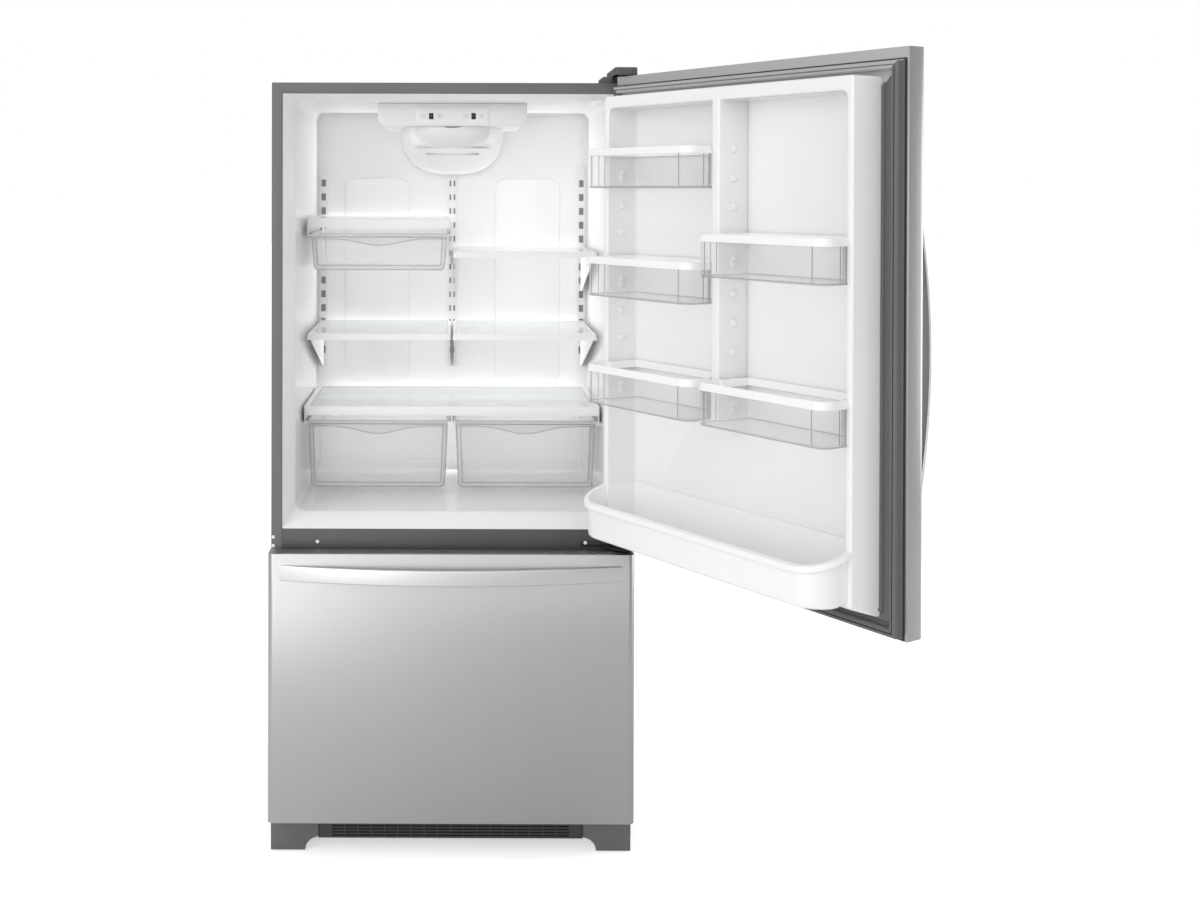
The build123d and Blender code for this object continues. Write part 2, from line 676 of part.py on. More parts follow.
def tray(x, y, z, dip):
    """Clear drawer: tapered walls, side flanges and a waved handle lip."""
    def outline(height, x_in, inset, radius):
        span_x = x[1] - x[0] - 2 * (x_in + inset)
        span_y = y[1] - y[0] - 2 * inset - LIP_T
        middle = Pos((x[0] + x[1]) / 2, (y[0] + LIP_T + y[1]) / 2, height)
        return middle * RectangleRounded(span_x, span_y, radius)

    body_in = HANGER_IN + TRAY_GAP
    outer = loft([outline(z[0], body_in + TRAY_TAPER, 0, TRAY_R), outline(z[1], body_in, 0, TRAY_R)])
    inner = loft([outline(z[0] + TRAY_WALL, body_in + TRAY_TAPER, TRAY_WALL, TRAY_R - TRAY_WALL),
                  outline(z[1] + 0.01, body_in, TRAY_WALL, TRAY_R - TRAY_WALL)])
    body = outer - inner
    flange_y = (y[0] + 20.0, y[1] - 20.0)
    for edge, inward in ((x[0], 1), (x[1], -1)):
        reach = sorted((edge + inward * FLANGE_GAP, edge + inward * (body_in + TRAY_WALL)))
        body = body + block(reach, flange_y, (z[1] - FLANGE_T, z[1]))
    lip_x = (x[0] + body_in + 2.0, x[1] - body_in - 2.0)
    middle = (lip_x[0] + lip_x[1]) / 2
    third = (lip_x[1] - lip_x[0]) / 3
    wave = Spline((lip_x[0], z[1] - LIP_END), (middle - third * 0.9, z[1] - LIP_END - 2.0),
                  (middle, z[1] - dip), (middle + third * 0.9, z[1] - LIP_END - 2.0),
                  (lip_x[1], z[1] - LIP_END))
    rest = Polyline((lip_x[1], z[1] - LIP_END), (lip_x[1], z[1]), (lip_x[0], z[1]),
                    (lip_x[0], z[1] - LIP_END))
    lip = backwards(facing(y[0]) * make_face(wave + rest), LIP_T + TRAY_WALL)
    keep = outer + block(lip_x, (y[0], y[0] + LIP_T + 1.0), (z[0], z[1]))
    return body + ((lip & keep) - inner)


def crisper_top():
    low = COVER_TOP - COVER_H - HANGER_DROP
    return low + SEAT + FLANGE_T


def crisper(side):
    x = sorted((side * 1.5, side * (COVER_X - 2.0)))
    x = (x[0] + SEAT, x[1] - SEAT)
    return tray(x, CRISPER_Y, (CRISPER_BOTTOM, crisper_top()), LIP_DIP)


def deli_drawer():
    x = left_x()
    top = DELI_SHELF[0] - DELI_SHELF[1] - HANGER_DROP + SEAT + FLANGE_T
    return tray((x[0] + 2.0 + SEAT, x[1] - 2.0 - SEAT), DELI_Y, (DELI_BOTTOM, top), LIP_DIP)


def control_housing():
    """Control and lamp housing under the fridge ceiling, with its two lamps."""
    body = block(both(HOUSING_X), HOUSING_Y, HOUSING_Z)
    low = body.edges().filter_by(Axis.Y).group_by(Axis.Z)[0]
    body = fillet(low, HOUSING_R)
    wall = HOUSING_WALL
    room = block(both(HOUSING_X - wall), (HOUSING_Y[0] + wall, HOUSING_Y[1] + 1),
                 (HOUSING_Z[0] + wall, HOUSING_Z[1] + 1))
    low = room.edges().filter_by(Axis.Y).group_by(Axis.Z)[0]
    body = body - fillet(low, HOUSING_R - wall)
    for x in key_places():
        body = body - block((x - KEY[0], x + KEY[0]), (HOUSING_Y[0] - 1, HOUSING_Y[0] + wall + 1),
                            (DISPLAY_Z - KEY[1], DISPLAY_Z + KEY[1]))
    parts = [body]
    for x in (-BULB_X, BULB_X):
        socket = rod((x, HOUSING_Y[1] - 60.0, HOUSING_Z[0]), BULB_R * 0.8, 22.0, (0, 0, -1))
        bulb = Pos(x, HOUSING_Y[1] - 60.0, HOUSING_Z[0] - 22.0 - BULB_R * 0.8) * Sphere(BULB_R)
        parts.append(socket + bulb)
    return group(parts)


def key_places():
    return [side * DISPLAY_X + offset for side in (-1, 1) for offset in (-KEY_OFFSET, KEY_OFFSET)]


def control_panel():
    """Fascia with two display windows and four key openings."""
    y = (HOUSING_Y[0] - PANEL_T, HOUSING_Y[0])
    plate = rounded(both(PANEL_X), y, PANEL_Z, 3.0, Axis.Y)
    for side in (-1, 1):
        x = side * DISPLAY_X
        plate = plate - block((x - DISPLAY[0] / 2, x + DISPLAY[0] / 2), (y[0] - 1, y[0] + 0.8),
                              (DISPLAY_Z - DISPLAY[1] / 2, DISPLAY_Z + DISPLAY[1] / 2))
    for x in key_places():
        hole_x = (x - KEY[0] / 2 - KEY_GAP, x + KEY[0] / 2 + KEY_GAP)
        hole_z = (DISPLAY_Z - KEY[1] / 2 - KEY_GAP, DISPLAY_Z + KEY[1] / 2 + KEY_GAP)
        plate = plate - block(hole_x, (y[0] - 1, y[1] + 1), hole_z)
    return plate


def key(x):
    """Push key with a flange behind the fascia."""
    front = HOUSING_Y[0] - PANEL_T - KEY_PROUD
    back = HOUSING_Y[0] + SEAT
    cap = rounded((x - KEY[0] / 2, x + KEY[0] / 2), (front, back + KEY_FLANGE),
                  (DISPLAY_Z - KEY[1] / 2, DISPLAY_Z + KEY[1] / 2), 1.5, Axis.Y)
    flange = block((x - KEY[0] / 2 - 2.0, x + KEY[0] / 2 + 2.0), (back, back + KEY_FLANGE),
                   (DISPLAY_Z - KEY[1] / 2 - 2.0, DISPLAY_Z + KEY[1] / 2 + 2.0))
    return cap + flange


def dome_body(shrink):
    """Quarter bowl under zero height: an ellipse seen from the front, and one from the side."""
    depth = IN_BACK - DOME_Y
    front = facing(DOME_Y) * Ellipse(DOME_X - shrink, DOME_DROP - shrink)
    seen_front = backwards(front, depth)
    side_plane = Plane(origin=(-DOME_X, 0, 0), x_dir=(0, 1, 0), z_dir=(1, 0, 0))
    side = side_plane * Pos(IN_BACK, 0) * Ellipse(depth - shrink, DOME_DROP - shrink)
    seen_side = extrude(side, amount=2 * DOME_X)
    below = block(both(HALF), (0, IN_BACK), (-DOME_DROP - 1, -SEAT))
    return seen_front & seen_side & below


def light_dome():
    """Translucent cover of the lamps and the cold-air outlet."""
    shell = dome_body(0) - dome_body(DOME_WALL)
    shell = shell - block(both(DOME_X * DOME_DUCT[0]), (IN_BACK - DOME_WALL - 1, IN_BACK + 1),
                          (-DOME_DROP * DOME_DUCT[1], 0))
    for drop, half in DOME_SLOTS:
        shell = shell - block(both(half), (DOME_Y, IN_BACK - DOME_SLOT_BACK),
                              (-drop - DOME_SLOT_H / 2, -drop + DOME_SLOT_H / 2))
    return Pos(0, 0, HOUSING_Z[0]) * shell


# ================================================================ folded fronts
def pan(x, z):
    """Folded sheet front: outer face, four sides and an inner return flange."""
    outer = block(x, FRONT_Y, z)
    edges = outer.edges().filter_by(Axis.Z).group_by(Axis.Y)[0]
    outer = fillet(edges, EDGE_R)
    skin = outer - pan_room(x, z)
    hole_x = (x[0] + RETURN, x[1] - RETURN)
    hole_z = (z[0] + RETURN, z[1] - RETURN)
    return skin - block(hole_x, (FRONT_Y[1] - SHEET - 1, FRONT_Y[1] + 1), hole_z)


def pan_room(x, z):
    """Space inside the folded front."""
    room = block((x[0] + SHEET, x[1] - SHEET), (FRONT_Y[0] + SHEET, FRONT_Y[1] - SHEET),
                 (z[0] + SHEET, z[1] - SHEET))
    edges = room.edges().filter_by(Axis.Z).group_by(Axis.Y)[0]
    return fillet(edges, EDGE_R - SHEET)


def pan_fill(x, z):
    """Foam block inside the folded front, up to the liner."""
    hole_x = (x[0] + RETURN, x[1] - RETURN)
    hole_z = (z[0] + RETURN, z[1] - RETURN)
    return pan_room(x, z) + block(hole_x, (FRONT_Y[1] - SHEET, FRONT_Y[1]), hole_z)


def gasket(z, inner_x, inner_z):
    """Magnetic door seal: flat base, inner lip and the balloon that meets the flange."""
    base_y = FRONT_Y[1] + PLATE_T
    base = ring(both(GASKET_X), z, both(inner_x), inner_z, (base_y, base_y + GASKET_BASE))
    out_x = GASKET_X - BALLOON_IN
    out_z = (z[0] + BALLOON_IN, z[1] - BALLOON_IN)
    in_z = (out_z[0] + BALLOON_W, out_z[1] - BALLOON_W)
    balloon = ring(both(out_x), out_z, both(out_x - BALLOON_W), in_z, (base_y, -GASKET_GAP))
    lip_z = (inner_z[0] - 5.0, inner_z[1] + 5.0)
    lip = ring(both(inner_x + 5.0), lip_z, both(inner_x), inner_z, (base_y, base_y + GASKET_BASE + 5.0))
    return joined([base, balloon, lip])


def bow_handle(plane, length, bow):
    """Strap bowed away from a front: local x along it, local y away from the face."""
    half = length / 2
    radius = (half ** 2 + bow ** 2) / (2 * bow)
    inner = math.sqrt((radius - HANDLE_T) ** 2 - (radius - bow) ** 2)
    outline = ThreePointArc((-half, 0), (0, bow), (half, 0)) + Line((half, 0), (inner, 0))
    outline += ThreePointArc((inner, 0), (0, bow - HANDLE_T), (-inner, 0)) + Line((-inner, 0), (-half, 0))
    return extrude(plane * make_face(outline), amount=HANDLE_W / 2, both=True)


# ================================================================ fridge door
def door_x():
    return both(DOOR_W / 2)


def bushing_hole(extra):
    """Space of both hinge bushings, with their bores left solid."""
    depth = PIN_IN + 6.0
    low = rod((HINGE_X, HINGE_Y, DOOR_Z[0] - 1), BUSH_R + extra, depth + 1, (0, 0, 1))
    top = rod((HINGE_X, HINGE_Y, DOOR_Z[1] + 1), BUSH_R + extra, depth + 1, (0, 0, -1))
    return low + top


def door_skin():
    return opened(pan(door_x(), DOOR_Z) - bushing_hole(0))


def door_bushings():
    """Plastic bearing sleeves in the door's top and bottom edges."""
    depth = PIN_IN + 6.0
    parts = []
    for z, up in ((DOOR_Z[0], 1), (DOOR_Z[1], -1)):
        sleeve = rod((HINGE_X, HINGE_Y, z), BUSH_R, depth, (0, 0, up))
        bore = rod((HINGE_X, HINGE_Y, z - up), PIN_R + PIN_FIT, PIN_IN + 3.0, (0, 0, up))
        parts.append(opened(sleeve - bore))
    return group(parts)


def dike_pocket(grow):
    """Recess between the dikes."""
    x = both(DIKE_X - DIKE_T + grow)
    z = (DIKE_Z[0] + DIKE_BOTTOM_T - grow, DIKE_Z[1] - DIKE_TOP_T + grow)
    return rounded(x, (FRONT_Y[1] + PLATE_T, DIKE_CREST + 5), z, POCKET_R + grow, Axis.Y)


def dike_mass(shrink):
    """Raised frame and centre rib of the door liner."""
    y = (FRONT_Y[1], DIKE_CREST - shrink)
    x = both(DIKE_X - shrink)
    top = DIKE_Z[1] - shrink
    foot = window(y[0], x, (DIKE_Z[0] + shrink, top), POCKET_R - shrink)
    crest = window(y[1], x, (DIKE_Z[0] + DIKE_RISE + shrink, top), POCKET_R - shrink)
    body = loft([foot, crest]) - dike_pocket(shrink)
    rib_z = (RIB_BOTTOM + shrink, DIKE_Z[1] - DIKE_TOP_T + 1.0 + shrink)
    body = body + block(both(RIB_HALF - shrink), y, rib_z)
    if shrink:
        return body
    crest = body.faces().filter_by(Axis.Y).sort_by(Axis.Y)[-1]
    return fillet(crest.edges(), DIKE_EDGE)


def bin_buttons():
    """Small pads on the pocket walls that carry the bins."""
    pads = []
    walls = (DIKE_X - DIKE_T, RIB_HALF)
    for row in range(BUTTONS):
        z = BUTTON_TOP - row * BIN_PITCH
        span = ((BUTTON_Y - BUTTON / 2, BUTTON_Y + BUTTON / 2), (z - BUTTON / 2, z + BUTTON / 2))
        outer = block((walls[0] - BUTTON_OUT, walls[0] + 1), *span)
        inner = block((walls[1] - 1, walls[1] + BUTTON_OUT), *span)
        pads += mirrored(outer)
        if z - BUTTON > RIB_BOTTOM:
            pads += mirrored(inner)
    return pads


def door_liner():
    """Thermoformed inner door: flat edge, dikes, centre rib and bin buttons."""
    plate = block(both(GASKET_X), (FRONT_Y[1], FRONT_Y[1] + PLATE_T), DOOR_GASKET_Z)
    hollow = dike_mass(PLATE_T)
    body = plate + dike_mass(0) - hollow
    return opened(joined([body] + bin_buttons()))


def door_foam():
    foam = pan_fill(door_x(), DOOR_Z) + dike_mass(PLATE_T)
    return opened(foam - bushing_hole(0))


def door_gasket():
    inner_z = (DIKE_Z[0] - 1.0, DIKE_Z[1] + 1.0)
    return opened(gasket(DOOR_GASKET_Z, GASKET_X - GASKET_W, inner_z))


def door_handle():
    plane = Plane(origin=(DOOR_HANDLE_X, FRONT_Y[0], DOOR_HANDLE_Z), x_dir=(0, 0, 1), z_dir=(1, 0, 0))
    return opened(bow_handle(plane, DOOR_HANDLE_L, DOOR_HANDLE_BOW))


# ================================================================ door bins
def bin_x(side):
    """Pocket range of one bin column, in closed-door X (the photograph's left column is +X)."""
    sign = 1 if side == "left" else -1
    return sorted((sign * RIB_HALF, sign * (DIKE_X - DIKE_T)))


def front_rounded(x, y, z, radius):
    """Box whose two edges at the largest Y are rounded."""
    box = block(x, y, z)
    edges = box.edges().filter_by(Axis.Z).group_by(Axis.Y)[-1]
    return fillet(edges, radius)


def bin_rim(x, top):
    """White band: wide in front of the dikes, narrow inside the pocket."""
    z = (top - RIM_H, top)
    wide = (x[0] - 3.5, x[1] + 8.0) if x[1] > 0 and x[0] > 0 else (x[0] - 8.0, x[1] + 3.5)
    narrow = (x[0] + BIN_SIDE_GAP, x[1] - BIN_SIDE_GAP)
    back = FRONT_Y[1] + PLATE_T + 1.0
    ahead = front_rounded(wide, (DIKE_CREST + SEAT, BIN_FRONT), z, BIN_R)
    behind = block(narrow, (back, DIKE_CREST + SEAT + 0.1), z)
    room = front_rounded((narrow[0] + RIM_W, narrow[1] - RIM_W), (back + RIM_W, BIN_FRONT - RIM_W),
                         (z[0] - 1, z[1] + 1), BIN_R - RIM_W)
    return ahead + behind - room


def bin_bucket(x, top):
    """Clear bucket below the rim, with lugs that sit on the liner's buttons."""
    span_x = (x[0] + BIN_SIDE_GAP, x[1] - BIN_SIDE_GAP)
    back = FRONT_Y[1] + PLATE_T + 1.0
    y = (back, BIN_FRONT - 6.0)
    z = (top - BIN_H, top - RIM_H)
    body = front_rounded(span_x, y, z, BIN_R - 6.0)
    low = body.faces().sort_by(Axis.Z)[0]
    body = fillet(low.edges(), 3.0)
    wall = BIN_WALL
    room = front_rounded((span_x[0] + wall, span_x[1] - wall), (y[0] + wall, y[1] - wall),
                         (z[0] + wall, z[1] + 1), BIN_R - 6.0 - wall)
    body = body - room
    lug_z = (top - BIN_LUG_DROP, top - BIN_LUG_DROP + LUG_H)
    lug_y = (BUTTON_Y - 6.0, BUTTON_Y + 6.0)
    for edge, out in ((span_x[0], -1), (span_x[1], 1)):
        reach = sorted((edge - out * 1.0, edge + out * (BIN_SIDE_GAP - 0.4)))
        body = body + block(reach, lug_y, lug_z)
    return body


def door_bin(side, step):
    x = bin_x(side)
    top = BIN_TOP - step * BIN_PITCH
    return opened(group([bin_rim(x, top), bin_bucket(x, top)]))


def scooped(body, back, radius):
    """Round the bottom edges, apart from the one at the back."""
    low = body.faces().sort_by(Axis.Z)[0]
    edges = [edge for edge in low.edges() if edge.center().Y > back + 1.0]
    return fillet(edges, radius)


def gallon_bin():
    """Full-width bin for tall bottles, its rim falling towards the front."""
    floor = DIKE_Z[0] + DIKE_BOTTOM_T + SEAT
    low, high = GALLON_TOP
    back = FRONT_Y[1] + PLATE_T + 1.0
    crest = DIKE_CREST + SEAT
    half_in = DIKE_X - DIKE_T - 2.0
    wall_front = GALLON_FRONT - GALLON_LIP
    z = (floor, high)
    wall_x = DIKE_X - GALLON_LIP
    ahead = scooped(front_rounded(both(wall_x), (crest, wall_front), z, GALLON_R), crest, GALLON_FOOT_R)
    lip_z = (low - GALLON_LIP_H, high)
    lip = front_rounded(both(DIKE_X), (crest, GALLON_FRONT), lip_z, GALLON_R + 5.0)
    behind = block(both(half_in), (back, crest + 0.1), z)
    behind = fillet(behind.edges().filter_by(Axis.Y).group_by(Axis.Z)[0], POCKET_R)
    outer = joined([ahead, lip, behind])
    wall = GALLON_WALL
    room = front_rounded(both(half_in - wall), (back + wall, wall_front - wall),
                         (floor + wall, high + 1), GALLON_R - wall)
    room = scooped(room, back + wall, GALLON_FOOT_R - wall)
    body = outer - room
    slope = Polyline((crest, high), (GALLON_FRONT + 5.0, low - 2.0), (GALLON_FRONT + 5.0, high + 20.0),
                     (crest, high + 20.0), (crest, high), close=False)
    plane = Plane(origin=(-HALF, 0, 0), x_dir=(0, 1, 0), z_dir=(1, 0, 0))
    wedge = extrude(plane * make_face(slope), amount=CAB_W)
    lip_under = Polyline((crest - 1, high - GALLON_LIP_H), (GALLON_FRONT + 5.0, low - GALLON_LIP_H - 2.0),
                         (GALLON_FRONT + 5.0, low - 40.0), (crest - 1, low - 40.0),
                         (crest - 1, high - GALLON_LIP_H), close=False)
    trim = extrude(plane * make_face(lip_under), amount=CAB_W) - front_rounded(
        both(wall_x), (crest - 2, wall_front), (0, high), GALLON_R)
    return opened(body - wedge - (trim - block(both(half_in), (back - 5, crest + 0.1), (0, high))))


# ================================================================ freezer drawer
def drawer_skin():
    return pan(door_x(), DRAWER_Z)


def drawer_core():
    """Foamed inner panel of the drawer front with its plug."""
    fill = pan_fill(door_x(), DRAWER_Z)
    plate = block(both(GASKET_X), (FRONT_Y[1], FRONT_Y[1] + PLATE_T), DRAWER_GASKET_Z)
    plug = rounded(both(PLUG_X), (FRONT_Y[1], 0), PLUG_Z, POCKET_R, Axis.Y)
    return joined([fill, plate, plug])


def drawer_gasket():
    inner_z = (PLUG_Z[0] - 1.0, PLUG_Z[1] + 1.0)
    inner_z = (max(inner_z[0], DRAWER_GASKET_Z[0] + 30.0), min(inner_z[1], DRAWER_GASKET_Z[1] - 30.0))
    return gasket(DRAWER_GASKET_Z, GASKET_X - GASKET_W, inner_z)


def drawer_handle():
    plane = Plane(origin=(0, FRONT_Y[0], DRAWER_HANDLE_Z), x_dir=(1, 0, 0), z_dir=(0, 0, -1))
    return bow_handle(plane, DRAWER_HANDLE_L, DRAWER_HANDLE_BOW)


def fixed_rails():
    """Fixed slide members and the upper basket's runners, on the liner's walls."""
    x = (IN_X - SLIDE_T, IN_X)
    slide = block(x, SLIDE_Y, SLIDE_Z)
    hollow_z = (SLIDE_Z[0] + SLIDE_WEB, SLIDE_Z[1] - SLIDE_WEB)
    slide = slide - block((x[0] - 1, x[1] - SLIDE_WEB), (0, CAB_DEPTH), hollow_z)
    lip = block((x[0], x[0] + SLIDE_WEB), SLIDE_Y, (SLIDE_Z[0], SLIDE_Z[0] + 5.0))
    lip_top = block((x[0], x[0] + SLIDE_WEB), SLIDE_Y, (SLIDE_Z[1] - 5.0, SLIDE_Z[1]))
    runner = block((IN_X - RUNNER_W, IN_X), SLIDE_Y, (RUNNER_Z, RUNNER_Z + RUNNER_T))
    web = block((IN_X - RUNNER_T, IN_X), SLIDE_Y, (RUNNER_Z - 14.0, RUNNER_Z + RUNNER_T))
    parts = mirrored(joined([slide, lip, lip_top])) + mirrored(runner + web)
    mouth = block(both(IN_X - 0.0), (LIP_DEPTH, CAB_DEPTH), (0, CAB_TOP))
    return group([part & mouth for part in parts])


def moving_rails():
    """Sliding members that carry the drawer front and the lower basket."""
    inside = IN_X - SLIDE_WEB - 0.4
    z = (SLIDE_Z[0] + SLIDE_WEB + 0.4, SLIDE_Z[1] - SLIDE_WEB - 0.4)
    head = block((IN_X - SLIDE_T + SLIDE_WEB + 0.4, inside), (0, SLIDE_BACK), z)
    neck_z = (SLIDE_Z[0] + 5.4, SLIDE_Z[1] - 5.4)
    neck = block((LOW_BASKET_X + 3.0, inside), (0, SLIDE_BACK), neck_z)
    shelf = block((LOW_BASKET_X - 1.0, LOW_BASKET_X + 6.0), (0.0, LOW_BASKET_Y[1]),
                  (neck_z[0], neck_z[0] + 3.0))
    foot = block((LOW_BASKET_X - 20.0, IN_X - SLIDE_T - 3.0), (0, 3.0),
                 (SLIDE_Z[0] - 20.0, SLIDE_Z[1] + 20.0))
    return group(mirrored(joined([head, neck, shelf, foot])))


def basket(x, y, z, panels):
    """Open plastic basket with shallow recessed panels in its long walls."""
    body = rounded(both(x), y, z, BASKET_R, Axis.Z)
    room = rounded(both(x - BASKET_WALL), (y[0] + BASKET_WALL, y[1] - BASKET_WALL),
                   (z[0] + BASKET_WALL, z[1] + 1), BASKET_R - BASKET_WALL, Axis.Z)
    body = body - room
    cuts = []
    pitch = (y[1] - y[0] - 2 * PANEL_END) / panels
    height = (z[0] + PANEL_END, z[1] - PANEL_END)
    for index in range(panels):
        middle = y[0] + PANEL_END + pitch * (index + 0.5)
        span = (middle - pitch / 2 + PANEL_BAR / 2, middle + pitch / 2 - PANEL_BAR / 2)
        cuts += mirrored(block((x - PANEL_SUNK, x + 1), span, height))
    return body - Compound(cuts)


def lower_basket():
    """Deep basket that hangs in the moving rails."""
    body = basket(LOW_BASKET_X - 4.0, LOW_BASKET_Y, LOW_BASKET_Z, 6)
    seat = SLIDE_Z[0] + 5.4 + 3.0
    flange = block((LOW_BASKET_X - 6.0, LOW_BASKET_X + 2.0), (LOW_BASKET_Y[0] + 25.0, LOW_BASKET_Y[1] - 25.0),
                   (seat, seat + 4.0))
    return joined([body] + mirrored(flange))


def upper_basket():
    """Shallow basket that slides on the liner's runners and follows the drawer."""
    body = basket(TOP_BASKET_X - 2.0, TOP_BASKET_Y, TOP_BASKET_Z, 7)
    seat = RUNNER_Z + RUNNER_T + SEAT
    flange = block((TOP_BASKET_X - 4.0, IN_X - RUNNER_T - 1.0),
                   (TOP_BASKET_Y[0] + 35.0, TOP_BASKET_Y[1] - 10.0), (seat, seat + 4.0))
    return joined([body] + mirrored(flange))


# ================================================================ cooling parts
def fan_wheel(radius, thickness):
    """Fan with a hub and pitched blades, axis along local z, centred on it."""
    hub = Cylinder(HUB_R, thickness) - Cylinder(SHAFT_R + PIN_FIT, thickness * 2)
    wheel = hub
    for index in range(BLADES):
        blade = Box(radius - HUB_R + 4.0, HUB_R * 1.5, 1.6)
        blade = Rot(32.0, 0, 0) * blade
        blade = Pos((radius + HUB_R - 4.0) / 2, 0, 0) * blade
        wheel = wheel + Rot(0, 0, index * 360.0 / BLADES) * blade
    wheel = wheel - Cylinder(SHAFT_R + PIN_FIT, thickness * 2)
    return wheel & Cylinder(radius, thickness * 2)


def evaporator_fan():
    middle = EVAP_COVER_Y + EVAP_COVER_T + FAN_GAP
    return Pos(0, middle, FAN_Z) * Rot(90, 0, 0) * fan_wheel(FAN_R, 12.0)


def condenser_fan():
    return Pos(COND_FAN_X, COND_FAN_Y, COND_FAN_Z) * Rot(0, 90, 0) * fan_wheel(COND_FAN_R, 14.0)


def fan_motors():
    """Motors of both fans with their shafts, arms and the condenser fan's shroud."""
    middle = EVAP_COVER_Y + EVAP_COVER_T + FAN_GAP
    shaft = rod((0, middle - 6.0, FAN_Z), SHAFT_R, 30.0, (0, 1, 0))
    can = rod((0, middle + 10.0, FAN_Z), MOTOR_R, 32.0, (0, 1, 0))
    arm = block((-FAN_R - 12.0, FAN_R + 12.0), (middle + 12.0, middle + 18.0), (FAN_Z - 6.0, FAN_Z + 6.0))
    posts = mirrored(block((FAN_R + 4.0, FAN_R + 12.0), (EVAP_COVER_Y + EVAP_COVER_T, middle + 18.0),
                           (FAN_Z - 6.0, FAN_Z + 6.0)))
    inner = joined([shaft, can, arm] + posts)
    x = COND_FAN_X
    shaft = rod((x - 7.0, COND_FAN_Y, COND_FAN_Z), SHAFT_R, 34.0, (1, 0, 0))
    can = rod((x + 14.0, COND_FAN_Y, COND_FAN_Z), MOTOR_R + 6.0, 45.0, (1, 0, 0))
    size = COND_FAN_R + 18.0
    plate = block((x - 14.0, x + 12.0), (COND_FAN_Y - size, COND_FAN_Y + size),
                  (BASE_PLATE_Z + CHANNEL_T, COND_FAN_Z + size))
    plate = plate - rod((x - 20.0, COND_FAN_Y, COND_FAN_Z), COND_FAN_R + 4.0, 60.0, (1, 0, 0))
    plate = plate - block((x - 11.0, x + 20.0), (COND_FAN_Y - size + 3, COND_FAN_Y + size - 3),
                          (BASE_PLATE_Z + CHANNEL_T + 3, COND_FAN_Z + size - 3))
    cross = block((x + 16.0, x + 20.0), (COND_FAN_Y - 10.0, COND_FAN_Y + 10.0),
                  (BASE_PLATE_Z + CHANNEL_T, COND_FAN_Z))
    foot = block((x - 14.0, x + 20.0), (COND_FAN_Y - 10.0, COND_FAN_Y + 10.0),
                 (BASE_PLATE_Z + CHANNEL_T, BASE_PLATE_Z + CHANNEL_T + 3.0))
    outer = joined([shaft, can, cross, foot, plate])
    return group([inner, outer])


def evaporator():
    """Finned coil behind the freezer's back cover."""
    tubes = []
    for column in (EVAP_Y[0] + 14.0, EVAP_Y[1] - 14.0):
        for row in range(5):
            z = EVAP_Z[0] + 18.0 + row * (EVAP_Z[1] - EVAP_Z[0] - 36.0) / 4
            tubes.append(rod((-EVAP_X, column, z), TUBE_R, 2 * EVAP_X, (1, 0, 0)))
    fins = []
    count = 25
    for index in range(count):
        x = -EVAP_X + 14.0 + index * (2 * EVAP_X - 28.0) / (count - 1)
        fins.append(block((x - FIN_T / 2, x + FIN_T / 2), EVAP_Y, EVAP_Z))
    ends = []
    for x in (-EVAP_X, EVAP_X):
        ends.append(block(sorted((x, x - math.copysign(2.0, x))), (EVAP_Y[0], EVAP_Y[1]), EVAP_Z))
    bar = block(both(EVAP_X), (EVAP_Y[1], IN_BACK), (EVAP_Z[1] - 14.0, EVAP_Z[1]))
    return joined([bar] + ends + fins + tubes)


def evaporator_cover():
    """Back cover of the freezer with air slots and the fan's opening."""
    y = (EVAP_COVER_Y, EVAP_COVER_Y + EVAP_COVER_T)
    x = IN_X - SLIDE_T - 6.0
    z = (HUMP_Z, FREEZER_IN_Z[1] - 1.0)
    plate = block(both(x), y, z)
    plate = plate - rod((0, y[0] - 1, FAN_Z), FAN_R - 6.0, 10.0, (0, 1, 0))
    cuts = []
    for index in range(11):
        middle = -250.0 + index * 50.0
        cuts.append(block((middle - 17.0, middle + 17.0), (y[0] - 1, y[1] + 1), (352.0, 360.0)))
    return plate - Compound(cuts)


def comp_top():
    return BASE_PLATE_Z + CHANNEL_T + COMP_FEET + COMP_H


def compressor():
    """Hermetic compressor on its foot plate."""
    foot = BASE_PLATE_Z + CHANNEL_T
    plate = rounded((COMP_X - 95.0, COMP_X + 95.0), (COMP_Y - 70.0, COMP_Y + 70.0),
                    (foot + COMP_FEET - 3.0, foot + COMP_FEET), 12.0, Axis.Z)
    body = rod((COMP_X, COMP_Y, foot + COMP_FEET), COMP_R, COMP_H, (0, 0, 1))
    body = fillet(body.edges().filter_by(GeomType.CIRCLE).sort_by(Axis.Z)[-1], 34.0)
    band = rod((COMP_X, COMP_Y, foot + 85.0), COMP_R + 3.0, 8.0, (0, 0, 1))
    box = block((COMP_X - 26.0, COMP_X + 26.0), (COMP_Y + COMP_R - 12.0, COMP_Y + COMP_R + 22.0),
                (foot + 30.0, foot + 82.0))
    feet = []
    for x in (-78.0, 78.0):
        for y in (-54.0, 54.0):
            feet.append(rod((COMP_X + x, COMP_Y + y, foot), 9.0, COMP_FEET, (0, 0, 1)))
    return joined([plate, body, band, box] + feet)


